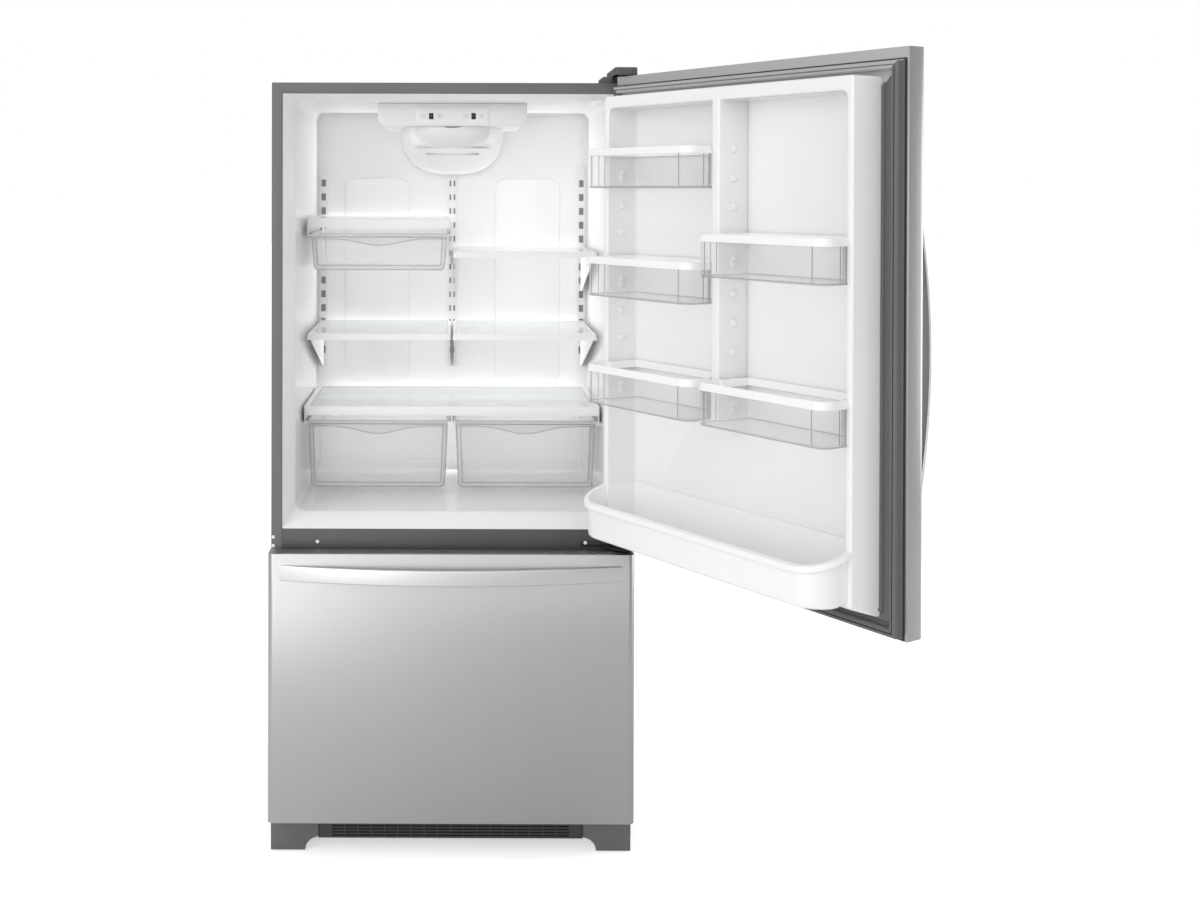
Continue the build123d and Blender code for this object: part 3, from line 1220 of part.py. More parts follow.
def condenser():
    """Wound tube-and-fin condenser with the pipes to the compressor."""
    parts = []
    for column in range(4):
        y = COND_Y[0] + 25.0 + column * (COND_Y[1] - COND_Y[0] - 50.0) / 3
        for row in range(4):
            z = COND_Z[0] + 20.0 + row * (COND_Z[1] - COND_Z[0] - 40.0) / 3
            parts.append(rod((COND_X[0], y, z), TUBE_R, COND_X[1] - COND_X[0], (1, 0, 0)))
    count = 12
    for index in range(count):
        x = COND_X[0] + 8.0 + index * (COND_X[1] - COND_X[0] - 16.0) / (count - 1)
        parts.append(block((x - FIN_T / 2, x + FIN_T / 2), COND_Y, COND_Z))
    for y in (COND_Y[0] + 3.0, COND_Y[1] - 6.0):
        parts.append(block((COND_X[0] + 8.0, COND_X[1] - 8.0), (y, y + 3.0),
                           (pan_top() + PAN_REST, COND_Z[0] + 20.0)))
    coil = joined(parts)
    start = (COND_X[1], COND_Y[1] - 25.0, COND_Z[1] - 20.0)
    path = FilletPolyline(start, (COND_X[1] + 25.0, start[1], start[2]),
                          (COND_X[1] + 25.0, start[1], COND_Z[1] + 30.0),
                          (COMP_X, start[1], COND_Z[1] + 30.0),
                          (COMP_X, COMP_Y, COND_Z[1] + 30.0),
                          (COMP_X, COMP_Y, comp_top()), radius=12.0)
    pipe = sweep(Plane(origin=path @ 0, z_dir=path % 0) * Circle(TUBE_R), path)
    return group([coil + pipe])


def pan_top():
    return BASE_PLATE_Z + CHANNEL_T + PAN_H


def drain_pan():
    """Tray under the condenser that evaporates the defrost water."""
    z = (BASE_PLATE_Z + CHANNEL_T, pan_top())
    y = (COND_Y[0] - 10.0, COND_Y[1] + 6.0)
    body = rounded(PAN_X, y, z, 10.0, Axis.Z)
    room = rounded((PAN_X[0] + PAN_WALL, PAN_X[1] - PAN_WALL), (y[0] + PAN_WALL, y[1] - PAN_WALL),
                   (z[0] + PAN_WALL, z[1] + 1), 10.0 - PAN_WALL, Axis.Z)
    rest_x = (PAN_X[0] + 1.0, PAN_X[1] - 1.0)
    rest_z = (z[0], z[1] + PAN_REST)
    rests = [block(rest_x, (COND_Y[0] + 2.0, COND_Y[0] + 8.0), rest_z),
             block(rest_x, (COND_Y[1] - 8.0, COND_Y[1] - 2.0), rest_z)]
    return joined([body - room] + rests)


def machine_cover():
    """Louvred rear cover of the machine space."""
    y = (CAB_DEPTH - SHEET, CAB_DEPTH)
    plate = block(both(CHANNEL_OUT), y, (BASE_PLATE_Z, MACHINE_Z))
    cuts = []
    for row in range(7):
        z = 105.0 + row * 20.0
        for column in range(8):
            x = -262.0 + column * 75.0
            cuts.append(block((x - 30.0, x + 30.0), (y[0] - 1, y[1] + 1), (z - 3.5, z + 3.5)))
    cuts.append(rod((GLAND_X, y[0] - 1, GLAND_Z), GLAND_R, 5.0, (0, 1, 0)))
    return plate - Compound(cuts)


def cord_gland():
    """Strain relief for the supply lead, in the machine cover."""
    start = CAB_DEPTH - SHEET - 8.0
    body = rod((GLAND_X, start, GLAND_Z), GLAND_R, GLAND_L, (0, 1, 0))
    collar = rod((GLAND_X, CAB_DEPTH, GLAND_Z), GLAND_R + 4.0, 4.0, (0, 1, 0))
    nut = rod((GLAND_X, CAB_DEPTH - SHEET - 5.0, GLAND_Z), GLAND_R + 3.0, 5.0, (0, 1, 0))
    bore = rod((GLAND_X, start - 1, GLAND_Z), GLAND_BORE, GLAND_L + 2, (0, 1, 0))
    return joined([body, collar, nut]) - bore


# ================================================================ base
def wheel_ears():
    """Bearing ears below a side channel."""
    out = CHANNEL_OUT
    y = (WHEEL_Y - EAR_L / 2, WHEEL_Y + EAR_L / 2)
    z = (EAR_BOTTOM, SIDE_BOTTOM + 6.0)
    outer = block((out - CHANNEL_T, out), y, z)
    inner = block((out - CHANNEL_W, out - CHANNEL_W + CHANNEL_T), y, z)
    return [outer, inner]


def base_frame():
    """Side channels, plate under the machine space and the front bar."""
    out = CHANNEL_OUT
    channel = block((out - CHANNEL_W, out), (20.0, CAB_DEPTH - SHEET), (SIDE_BOTTOM, DECK_Z))
    room = block((out - CHANNEL_W + CHANNEL_T, out - CHANNEL_T), (0, CAB_DEPTH + 1), (0, DECK_Z - CHANNEL_T))
    channel = channel - room
    lug = block((out - CHANNEL_W, out), (LEG_Y - 18.0, LEG_Y + 18.0), (60.0, 66.0))
    lug = lug - rod((AXLE_X, LEG_Y, 50.0), LEG_R + PIN_FIT, 30.0, (0, 0, 1))
    bore = rod((0, WHEEL_Y, WHEEL_R), AXLE_R + PIN_FIT, HALF, (1, 0, 0))
    side = joined([channel, lug] + wheel_ears()) - bore
    inside = both(out - CHANNEL_W)
    plate = block(inside, (MACHINE_Y + 2.0, CAB_DEPTH - SHEET), (BASE_PLATE_Z, BASE_PLATE_Z + CHANNEL_T))
    bar = block(inside, BAR_Y, (SIDE_BOTTOM + 12.0, DECK_Z))
    bar = bar - block(inside, (BAR_Y[0] + 2, BAR_Y[1] - 2), (0, DECK_Z - 2.0))
    return joined(mirrored(side) + [plate, bar])


def rear_rollers():
    """Two rollers on one through axle."""
    half = WHEEL_W / 2
    tread = rod((AXLE_X - half, WHEEL_Y, WHEEL_R), WHEEL_R, WHEEL_W, (1, 0, 0))
    tread = fillet(tread.edges().filter_by(GeomType.CIRCLE), 1.5)
    axle = rod((-CHANNEL_OUT + 0.2, WHEEL_Y, WHEEL_R), AXLE_R, 2 * CHANNEL_OUT - 0.4, (1, 0, 0))
    return joined(mirrored(tread) + [axle])


def levelling_leg(side):
    """Threaded leg with a round sole."""
    x = side * AXLE_X
    sole = rod((x, LEG_Y, 0), SOLE_R, SOLE_H, (0, 0, 1))
    nut = Pos(x, LEG_Y, SOLE_H) * extrude(RegularPolygon(11.0, 6), amount=9.0)
    stud = rod((x, LEG_Y, SOLE_H), LEG_R, LEG_TOP - SOLE_H, (0, 0, 1))
    return joined([sole, nut, stud])


def foot_cover(side):
    """Moulded cover of a front corner, cut away towards the grille by a quarter curve."""
    curve = ThreePointArc((FOOT_X[0], FOOT_CLEAR), (FOOT_X[0] - 9.0, FOOT_STEP - 9.5), (FOOT_IN, FOOT_STEP))
    rest = Polyline((FOOT_IN, FOOT_STEP), (FOOT_IN, TOE_TOP), (FOOT_X[1], TOE_TOP),
                    (FOOT_X[1], FOOT_CLEAR), (FOOT_X[0], FOOT_CLEAR))
    outline = make_face(curve + rest)
    solid = backwards(facing(FOOT_Y[0]) * outline, FOOT_Y[1] - FOOT_Y[0])
    room = offset(outline, amount=-TOE_WALL, kind=Kind.INTERSECTION)
    solid = solid - backwards(facing(FOOT_Y[0] + TOE_WALL) * room, FOOT_Y[1] - FOOT_Y[0])
    return solid if side > 0 else mirror(solid, about=Plane.YZ)


def toe_grille():
    """Slotted air grille between the two foot covers."""
    x = both(FOOT_IN - SEAT)
    y = (FOOT_Y[0] + 4.0, FOOT_Y[0] + 7.0)
    plate = block(x, y, (GRILLE_Z, TOE_TOP))
    cuts = []
    pitch_x = 2 * GRILLE_SLOT_X / GRILLE_COLS
    pitch_z = (TOE_TOP - GRILLE_Z - 6.0) / (GRILLE_ROWS * 2)
    for row in range(GRILLE_ROWS * 2):
        z = GRILLE_Z + 3.0 + pitch_z * (row + 0.5)
        for column in range(GRILLE_COLS):
            middle = -GRILLE_SLOT_X + pitch_x * (column + 0.5)
            span = (middle - pitch_x / 2 + GRILLE_BAR / 2, middle + pitch_x / 2 - GRILLE_BAR / 2)
            cuts.append(block(span, (y[0] - 1, y[1] + 1), (z - pitch_z * 0.28, z + pitch_z * 0.28)))
    plate = plate - Compound(cuts)
    tabs = []
    for middle in (-200.0, 0, 200.0):
        tabs.append(block((middle - 10.0, middle + 10.0), (y[1], BAR_Y[0]), (TOE_TOP - 6.0, TOE_TOP - 2.0)))
    cover_tabs = mirrored(block((FOOT_X[0], FOOT_X[0] + 20.0), (FOOT_Y[0] + TOE_WALL, BAR_Y[0]),
                                (TOE_TOP - 12.0, TOE_TOP - TOE_WALL)))
    covers = [foot_cover(side) for side in (-1, 1)]
    covers = [cover + tab for cover, tab in zip(sorted(covers, key=lambda c: -c.center().X), cover_tabs)]
    return group([joined([plate] + tabs)] + covers)


# ================================================================ hinges
def top_hinge():
    z0, z1 = HINGE_TOP_PLATE, HINGE_TOP_PLATE + HINGE_PLATE_T
    side = HALF - HINGE_BASE_IN[1]
    front = HINGE_BASE_Y[0]
    base = block((HALF - HINGE_BASE_IN[0], side), HINGE_BASE_Y, (CAB_TOP, CAB_TOP + HINGE_PLATE_T))
    riser = block((HALF - HINGE_RISER_IN, side), (front - HINGE_RISER_T, front), (CAB_TOP, z1))
    arm = rounded((HINGE_X - HINGE_ARM[0], HINGE_X + HINGE_ARM[1]), (HINGE_Y - HINGE_NOSE, front),
                  (z0, z1), HINGE_ARM_R, Axis.Z)
    pin = rod((HINGE_X, HINGE_Y, DOOR_Z[1] - PIN_IN), PIN_R, z1 - DOOR_Z[1] + PIN_IN, (0, 0, 1))
    return joined([base, riser, arm, pin])


def low_hinge():
    z0, z1 = HINGE_LOW_PLATE, HINGE_LOW_PLATE + HINGE_PLATE_T
    inner, side = HALF - LOW_HINGE_IN[0], HALF - LOW_HINGE_IN[1]
    outline = Polyline((inner, 0), (side, 0), (side, HINGE_Y - 8.0),
                       (HINGE_X - 4.0, HINGE_Y - HINGE_NOSE), (HINGE_X - 20.0, HINGE_Y - 6.0),
                       (inner, -6.0), (inner, 0), close=False)
    plate = extrude(Pos(0, 0, z0) * make_face(outline), amount=HINGE_PLATE_T)
    leg = block((HALF - LOW_LEG_IN, side), (-LEG_T, 0), (z0, DOOR_GASKET_Z[0] - 1.0))
    washer = rod((HINGE_X, HINGE_Y, z1), BUSH_R, DOOR_Z[0] - z1 - SEAT, (0, 0, 1))
    pin = rod((HINGE_X, HINGE_Y, z1), PIN_R, DOOR_Z[0] - z1 + PIN_IN, (0, 0, 1))
    return joined([plate, leg, washer, pin])


def hinge_brackets():
    return group([top_hinge(), low_hinge()])


def hinge_cover():
    """Moulded cap over the top hinge."""
    x = (HALF - COVER_IN[0] + 5.0, HALF - COVER_IN[1])
    foot_x = (HALF - COVER_FOOT_IN[0], HALF - COVER_FOOT_IN[1])
    nose = HINGE_Y - COVER_NOSE
    top = CAB_TOP + COVER_RISE
    wall = COVER_WALL
    upper = rounded(x, (nose, COVER_BACK), (HINGE_TOP_PLATE + 0.6, top), 7.0, Axis.Z)
    edges = upper.faces().sort_by(Axis.Z)[-1].edges()
    upper = fillet(edges, 3.0)
    lower = block(foot_x, (COVER_STEP_Y, COVER_BACK), (CAB_TOP, HINGE_TOP_PLATE + 1.0))
    room = block((x[0] + wall, x[1] - wall), (nose + wall, COVER_BACK - wall), (CAB_TOP - 1, top - wall))
    room_low = block((foot_x[0] + wall, foot_x[1] - wall), (COVER_STEP_Y + wall, COVER_BACK - wall),
                     (CAB_TOP - 1, HINGE_TOP_PLATE - 1.0))
    slot = block((foot_x[0] + 22.0, foot_x[1] - wall), (0, COVER_STEP_Y + wall + 1),
                 (HINGE_TOP_PLATE - 0.4, HINGE_TOP_PLATE + HINGE_PLATE_T + 1))
    below = block((foot_x[0] - 48.0, x[1] + 11.0), (nose - 16.0, COVER_STEP_Y - 0.1),
                  (CAB_TOP - 1, HINGE_TOP_PLATE + 0.6))
    return upper + lower - room - room_low - slot - below


def screw(x, z, y, radius):
    """Pan head on a front face, with a cross recess."""
    head = rod((x, y, z), radius, 2.0, (0, -1, 0))
    head = fillet(head.edges().filter_by(GeomType.CIRCLE).sort_by(Axis.Y)[0], 1.2)
    cross = block((x - 0.5, x + 0.5), (y - 3, y - 1.0), (z - 2.2, z + 2.2))
    cross = cross + block((x - 2.2, x + 2.2), (y - 3, y - 1.0), (z - 0.5, z + 0.5))
    return head - cross


def fasteners():
    """Hinge screws, the blanking plugs of the unused hinge side and the top hinge bolts."""
    x, drop = RAIL_SCREW
    parts = [screw(-x, RAIL_TOP - drop, 0, 4.3), screw(x, RAIL_TOP - drop, -LEG_T, 4.3)]
    parts += [screw(SIDE_PLUG_IN - HALF, RAIL_TOP - drop, 0, 4.0) for drop in SIDE_PLUG_DROPS]
    head_z = CAB_TOP + HINGE_PLATE_T
    for side_in, y in HINGE_BOLTS:
        parts.append(Pos(HALF - side_in, y, head_z) * extrude(RegularPolygon(BOLT_R, 6), amount=BOLT_H))
    return group(parts)


# ================================================================ all nodes
def build_nodes():
    nodes = {
        "cabinet_shell": cabinet_shell(), "back_panel": back_panel(), "foam_core": foam_core(),
        "fridge_liner": fridge_liner(), "freezer_liner": freezer_liner(), "centre_rail": centre_rail(),
        "shelf_tracks": shelf_tracks(), "shelf_frames": shelf_frames(), "shelf_glass": shelf_glass(),
        "crisper_cover": crisper_cover(), "control_housing": control_housing(),
        "control_panel": control_panel(), "light_dome": light_dome(),
        "hinge_brackets": hinge_brackets(), "hinge_cover": hinge_cover(), "fasteners": fasteners(),
        "fixed_rails": fixed_rails(), "evaporator": evaporator(), "evaporator_cover": evaporator_cover(),
        "fan_motors": fan_motors(), "compressor": compressor(), "condenser": condenser(),
        "drain_pan": drain_pan(), "machine_cover": machine_cover(), "cord_gland": cord_gland(),
        "base_frame": base_frame(), "toe_grille": toe_grille(),
        "door_skin": door_skin(), "door_foam": door_foam(), "door_liner": door_liner(),
        "door_bushings": door_bushings(), "door_gasket": door_gasket(), "door_handle": door_handle(),
        "gallon_bin": gallon_bin(),
        "drawer_skin": drawer_skin(), "drawer_core": drawer_core(), "drawer_gasket": drawer_gasket(),
        "drawer_handle": drawer_handle(), "moving_rails": moving_rails(),
        "lower_basket": lower_basket(), "upper_basket": upper_basket(),
        "crisper_left": crisper(-1), "crisper_right": crisper(1), "deli_drawer": deli_drawer(),
        "humidity_slider_left": humidity_slider(-1), "humidity_slider_right": humidity_slider(1),
        "evaporator_fan": evaporator_fan(), "condenser_fan": condenser_fan(),
        "rear_rollers": rear_rollers(), "leg_left": levelling_leg(-1), "leg_right": levelling_leg(1),
    }
    for side, steps in BIN_STEPS.items():
        for step, name in zip(steps, BIN_NAMES[side]):
            nodes[f"bin_{side}_{name}"] = door_bin(side, step)
    for index, x in enumerate(key_places()):
        nodes[f"key_{index + 1}"] = key(x)
    return nodes


def footprint_centre(nodes):
    """Middle of the whole object's bounding box, door open."""
    boxes = [node.bounding_box() for node in nodes.values()]
    x = (min(b.min.X for b in boxes) + max(b.max.X for b in boxes)) / 2
    y = (min(b.min.Y for b in boxes) + max(b.max.Y for b in boxes)) / 2
    return x, y


def main():
    nodes = build_nodes()
    x, y = footprint_centre(nodes)
    os.makedirs("parts", exist_ok=True)
    for name, node in nodes.items():
        export_step(Pos(-x, -y, 0) * node, f"parts/{name}.step")
    print("nodes", len(nodes), "origin at", round(x, 3), round(y, 3))


main()
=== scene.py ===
# %% [markdown]
# # A refrigerator over a freezer drawer, with its door wide open
# The frame of solid parts fixes every size and hinge. This lesson adds what the eye wants: rounded
# edges, thin clear walls, seals, and the right finishes.

import json
from math import asin, copysign, cos, degrees, exp, pi, radians, sin, tan

import bmesh
import bpy
from mathutils import Matrix, Vector

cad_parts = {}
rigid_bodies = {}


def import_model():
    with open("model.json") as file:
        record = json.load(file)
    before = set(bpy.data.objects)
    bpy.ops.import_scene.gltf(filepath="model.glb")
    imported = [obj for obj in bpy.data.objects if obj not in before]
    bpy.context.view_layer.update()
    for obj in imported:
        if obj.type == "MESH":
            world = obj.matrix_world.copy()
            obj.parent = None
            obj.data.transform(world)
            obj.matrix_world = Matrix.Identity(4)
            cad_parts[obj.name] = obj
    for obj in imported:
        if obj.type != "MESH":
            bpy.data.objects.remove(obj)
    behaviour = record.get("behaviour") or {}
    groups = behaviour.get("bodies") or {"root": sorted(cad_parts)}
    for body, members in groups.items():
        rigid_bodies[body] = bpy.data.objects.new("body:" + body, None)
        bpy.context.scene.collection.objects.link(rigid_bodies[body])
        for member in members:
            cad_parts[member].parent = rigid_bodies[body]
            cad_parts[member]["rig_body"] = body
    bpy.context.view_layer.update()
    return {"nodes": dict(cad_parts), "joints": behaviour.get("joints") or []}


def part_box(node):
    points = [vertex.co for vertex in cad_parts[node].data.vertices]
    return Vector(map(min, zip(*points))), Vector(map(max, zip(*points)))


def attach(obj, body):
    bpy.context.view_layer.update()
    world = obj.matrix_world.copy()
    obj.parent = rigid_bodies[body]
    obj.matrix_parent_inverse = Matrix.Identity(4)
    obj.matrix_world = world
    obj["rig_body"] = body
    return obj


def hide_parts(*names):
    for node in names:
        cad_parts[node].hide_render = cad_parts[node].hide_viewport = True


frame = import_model()

# %% [markdown]
# Sizes are in millimetres from the middle of the cabinet's width and the front face of its
# flange. Both are read from the frame, so the lesson holds if the cabinet is moved.

# %% Places in cabinet millimetres
MM = 0.001
low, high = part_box("cabinet_shell")
CENTRE = (low.x + high.x) / 2
FRONT = low.y
TO_FRAME = Matrix.Translation((CENTRE, FRONT, 0)) @ Matrix.Scale(MM, 4)
hinge = next(joint for joint in frame["joints"] if joint["name"] == "door_hinge")
OPEN = radians(-hinge["range_deg"][0])
pivot = Matrix.Translation(Vector(hinge["pos_m"]))
DOOR_TURN = pivot @ Matrix.Rotation(OPEN, 4, "Z") @ pivot.inverted()
print("door stored open at", round(degrees(OPEN), 1), "degrees")

# %% [markdown]
# One helper finishes every piece. It moves the millimetre mesh into the frame, turns door pieces
# with the door, smooths faces that meet gently and keeps the sharp ones sharp.

# %% Finish a piece
CREASE = radians(32)
MERGE = 0.01
DOOR_BODIES = ("fridge_door", "bin_", "gallon_bin")


def new_object(bm, name, paint):
    """Turn a bmesh into an object of one finish, and put it in the scene."""
    mesh = bpy.data.meshes.new(name)
    bm.to_mesh(mesh)
    bm.free()
    mesh.materials.append(paint)
    made = bpy.data.objects.new(name, mesh)
    bpy.context.scene.collection.objects.link(made)
    return made


def link_piece(bm, name, body, paint, replaces):
    """Put a finished bmesh on a body, smooth but for its sharp edges."""
    for face in bm.faces:
        face.smooth = True
    piece = new_object(bm, name, paint)
    piece.data.set_sharp_from_angle(angle=CREASE)
    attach(piece, body)
    if replaces:
        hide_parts(*replaces)
    return piece


def finish_piece(bm, name, body, paint, replaces=()):
    """Turn a bmesh in cabinet millimetres into an object that rides on a body."""
    bmesh.ops.remove_doubles(bm, verts=bm.verts, dist=MERGE)
    bmesh.ops.recalc_face_normals(bm, faces=bm.faces)
    bm.transform((DOOR_TURN if body.startswith(DOOR_BODIES) else Matrix.Identity(4)) @ TO_FRAME)
    return link_piece(bm, name, body, paint, replaces)


# %% [markdown]
# Seals, liners, bins, shelf rims and drawers are all a profile carried round a rounded rectangle.
# So the main tool is a ring: a loop of edges extruded from one profile point to the next. A point
# says how far in from the rectangle's edge it is, how deep, and how large a round it has.

# %% Round the corners of a profile
def rounded(points, steps=4):
    """Replace each (inset, depth, radius) corner of a profile with a short arc."""
    places = []
    for index, (inset, depth, radius) in enumerate(points):
        here = Vector((inset, depth))
        if radius <= 0 or index in (0, len(points) - 1):
            places.append(here)
            continue
        before = (Vector(points[index - 1][:2]) - here).normalized()
        after = (Vector(points[index + 1][:2]) - here).normalized()
        half = before.angle(after) / 2
        reach = radius / tan(half)
        middle = here + (before + after).normalized() * radius / sin(half)
        start, end = here + before * reach - middle, here + after * reach - middle
        for step in range(steps + 1):
            places.append(middle + start.slerp(end, step / steps))
    return places


# %% Carry a profile round a rounded rectangle
CORNER_STEPS = 6


def loop_places(span_a, span_b, radii, inset):
    """Corner-rounded rectangle, drawn in by an inset, as a list of 2-D points."""
    radii = radii if isinstance(radii, tuple) else (radii, radii)
    a0, a1 = span_a[0] + inset, span_a[1] - inset
    b0, b1 = span_b[0] + inset, span_b[1] - inset
    low_r, high_r = (max(radius - inset, 0.4) for radius in radii)
    corners = ((a1, b0, low_r, -90, -1, 1), (a1, b1, high_r, 0, -1, -1),
               (a0, b1, high_r, 90, 1, -1), (a0, b0, low_r, 180, 1, 1))
    places = []
    for a, b, radius, start, to_a, to_b in corners:
        for step in range(CORNER_STEPS + 1):
            angle = radians(start + 90 * step / CORNER_STEPS)
            places.append((a + to_a * radius + radius * cos(angle),
                           b + to_b * radius + radius * sin(angle)))
    return places


def seat(places, depth, axis):
    """Lay 2-D points on the plane at a depth along Y, or at a height along Z."""
    if axis == "Y":
        return [Vector((a, depth, b)) for a, b in places]
    return [Vector((a, b, depth)) for a, b in places]


def round_edges(make, loop):
    """Make or get every edge of a closed loop of vertices."""
    return [make((loop[i - 1], loop[i])) for i in range(len(loop))]


def only_verts(result):
    """Vertices among what an operator made."""
    return [item for item in result["geom"] if isinstance(item, bmesh.types.BMVert)]


def next_loop(bm, loop, edges, places):
    """Extrude a line of vertices along its edges and move the new one to its places."""
    fresh = set(only_verts(bmesh.ops.extrude_edge_only(bm, edges=edges)))
    following = []
    for vertex, place in zip(loop, places):
        ends = [edge.other_vert(vertex) for edge in vertex.link_edges]
        partner = next(end for end in ends if end in fresh)
        partner.co = place
        following.append(partner)
    return following


def carry(bm, places, caps):
    """Extrude one loop through lists of places, and close its ends as asked."""
    loop = [bm.verts.new(place) for place in places[0]]
    edges = round_edges(bm.edges.new, loop)
    if caps[0]:
        bmesh.ops.contextual_create(bm, geom=edges)
    for place in places[1:]:
        loop = next_loop(bm, loop, edges, place)
        edges = round_edges(bm.edges.get, loop)
    if caps[1]:
        bmesh.ops.contextual_create(bm, geom=edges)


def ring(bm, span_a, span_b, radii, profile, axis="Y", caps=(False, False), closed=False):
    """Carry a profile round a rounded rectangle."""
    places = [seat(loop_places(span_a, span_b, radii, p[0]), p[1], axis) for p in profile]
    carry(bm, places + (places[:1] if closed else []), caps)


def both(x):
    """Symmetric range about the centre line."""
    return (-x, x)


def slab(bm, x, y, z, bevel=0.0, segments=2):
    """Block between three ranges, with its edges softened."""
    made = bmesh.ops.create_cube(bm, size=1.0)["verts"]
    size = Vector((x[1] - x[0], y[1] - y[0], z[1] - z[0]))
    middle = Vector(((x[0] + x[1]) / 2, (y[0] + y[1]) / 2, (z[0] + z[1]) / 2))
    bmesh.ops.scale(bm, vec=size, verts=made)
    bmesh.ops.translate(bm, vec=middle, verts=made)
    if bevel:
        edges = list({edge for vertex in made for edge in vertex.link_edges})
        bmesh.ops.bevel(bm, geom=edges, offset=bevel, offset_type="OFFSET", segments=segments,
                        profile=0.5, affect="EDGES", material=-1)


print("helpers ready")

# %% [markdown]
# ## Finishes
# Each finish starts from what the real surface is and how it was made. Colours are written as
# sRGB hex values, and patterns are scaled from a size in millimetres.

# %% Add a node
def linear(hex_text):
    """sRGB hex text to linear RGBA."""
    channels = [int(hex_text[i:i + 2], 16) / 255 for i in (1, 3, 5)]
    curve = [c / 12.92 if c <= 0.04045 else ((c + 0.055) / 1.055) ** 2.4 for c in channels]
    return (*curve, 1.0)


def add_node(tree, kind, inputs=None, **settings):
    """Add a shader node, set it and link it."""
    made = tree.nodes.new("ShaderNode" + kind)
    for name, value in settings.items():
        setattr(made, name, value)
    for socket, value in (inputs or {}).items():
        if isinstance(value, bpy.types.NodeSocket):
            tree.links.new(value, made.inputs[socket])
        else:
            made.inputs[socket].default_value = value
    return made


def new_material(name):
    """Empty material, with its node tree and object coordinates."""
    material = bpy.data.materials.new(name)
    material.use_nodes = True
    tree = material.node_tree
    tree.nodes.clear()
    place = add_node(tree, "TexCoord").outputs["Object"]
    return material, tree, place


def show(tree, shader):
    """Make a shader the surface of a material."""
    add_node(tree, "OutputMaterial", {"Surface": shader})


def per_metre(size_mm):
    """Noise scale whose features are about one size across."""
    return 1000.0 / size_mm


# %% [markdown]
# Stainless steel on a door is rolled, then brushed upright with an abrasive belt, which gives a
# soft sheen with faint upright streaks. They are drawn about a millimetre wide, because the real
# ones are too fine to show here.

# %% Brushed stainless steel
def brushed(name, stretch, groove="#a9a9aa", ridge="#b9b9b9", worn_shade="#b4b4b5"):
    """Rolled and belt-brushed steel; stretch is how much longer a streak is along X, Y and Z."""
    material, tree, place = new_material(name)
    grain = [per_metre(1.1) / factor for factor in stretch]
    streaks = add_node(tree, "Mapping", {"Vector": place, "Scale": grain})
    fine = add_node(tree, "TexNoise", {"Vector": streaks.outputs[0], "Scale": 1.0, "Detail": 3.0})
    cloud = add_node(tree, "TexNoise", {"Vector": place, "Scale": per_metre(420), "Detail": 1.0})
    tone = add_node(tree, "MixRGB", {"Fac": fine.outputs[0], "Color1": linear(groove),
                                     "Color2": linear(ridge)})
    worn = add_node(tree, "MixRGB", {"Fac": cloud.outputs[0], "Color1": tone.outputs[0],
                                     "Color2": linear(worn_shade)})
    rough = add_node(tree, "MapRange", {"Value": fine.outputs[0], "To Min": 0.30, "To Max": 0.42})
    bump = add_node(tree, "Bump", {"Height": fine.outputs[0], "Strength": 0.06, "Distance": 0.0002})
    steel = add_node(tree, "BsdfPrincipled", {
        "Base Color": worn.outputs[0], "Metallic": 1.0, "Roughness": rough.outputs[0],
        "Normal": bump.outputs[0]})
    show(tree, steel.outputs[0])
    return material


STEEL_UPRIGHT = brushed("brushed_stainless_upright", (1, 1, 160))
# The straps are brushed along their length, and their steel is painted lighter: a painted
# highlight.
STEEL_LEVEL_LIT = brushed("brushed_stainless_level_painted_light", (160, 1, 1), "#cacacb", "#dcdcdc", "#d2d2d2")
# The door handle's steel is painted lighter still: a painted highlight.
STEEL_LIT = brushed("brushed_stainless_painted_light", (1, 1, 160), "#d8d8d9", "#ececec", "#e2e2e2")
print("made", STEEL_UPRIGHT.name, STEEL_LEVEL_LIT.name, STEEL_LIT.name)


# %% [markdown]
# Everything moulded or painted shares one recipe: an even base colour that drifts by a few
# percent, a roughness that drifts a little more, and a bump at the size of the real texture.

# %% Moulded and painted surfaces
def surface(name, shade, drift, rough, texture_mm, bump, metallic=0.0, coat=0.0):
    """Surface of one colour with slight drift, and a fine bump of a real size."""
    material, tree, place = new_material(name)
    cloud = add_node(tree, "TexNoise", {"Vector": place, "Scale": per_metre(160), "Detail": 2.0})
    grit = add_node(tree, "TexNoise", {
        "Vector": place, "Scale": per_metre(texture_mm), "Detail": 2.0})
    tone = add_node(tree, "MixRGB", {"Fac": cloud.outputs[0], "Color1": linear(shade),
                                     "Color2": linear(drift)})
    gloss = add_node(tree, "MapRange", {"Value": cloud.outputs[0], "To Min": rough * 0.88,
                                        "To Max": rough * 1.12})
    relief = add_node(tree, "Bump", {
        "Height": grit.outputs[0], "Strength": bump, "Distance": 0.0004})
    shell = add_node(tree, "BsdfPrincipled", {
        "Base Color": tone.outputs[0], "Roughness": gloss.outputs[0], "Metallic": metallic,
        "Coat Weight": coat, "Normal": relief.outputs[0]})
    show(tree, shell.outputs[0])
    return material


# Vacuum-formed polystyrene: a glossy, slightly wavy white skin.
FORMED_WHITE = surface("formed_polystyrene_white", "#f2f2f1", "#ececec", 0.14, 9.0, 0.02)
# Injection-moulded ABS: a cleaner, silkier white.
MOULDED_WHITE = surface("moulded_abs_white", "#ececeb", "#e6e6e6", 0.34, 2.5, 0.04)
# Polypropylene bin rims: waxy white.
RIM_WHITE = surface("moulded_polypropylene_white", "#f6f6f5", "#f0f0f0", 0.30, 3.0, 0.03)
# Epoxy-polyester powder paint over steel: mid grey with a fine pebbled grain.
GREY_PAINT = surface("powder_paint_grey", "#656565", "#5e5e5e", 0.45, 1.2, 0.16)
# The same paint on the cross rail, painted darker for the shade it lies in: painted shade.
RAIL_SHADED_PAINT = surface("powder_paint_grey_painted_shade", "#4f4f4f", "#494949", 0.42, 1.2, 0.14)
# White powder paint on the slotted steel strips.
TRACK_PAINT = surface("powder_paint_white", "#ededed", "#e6e6e6", 0.38, 1.2, 0.10)
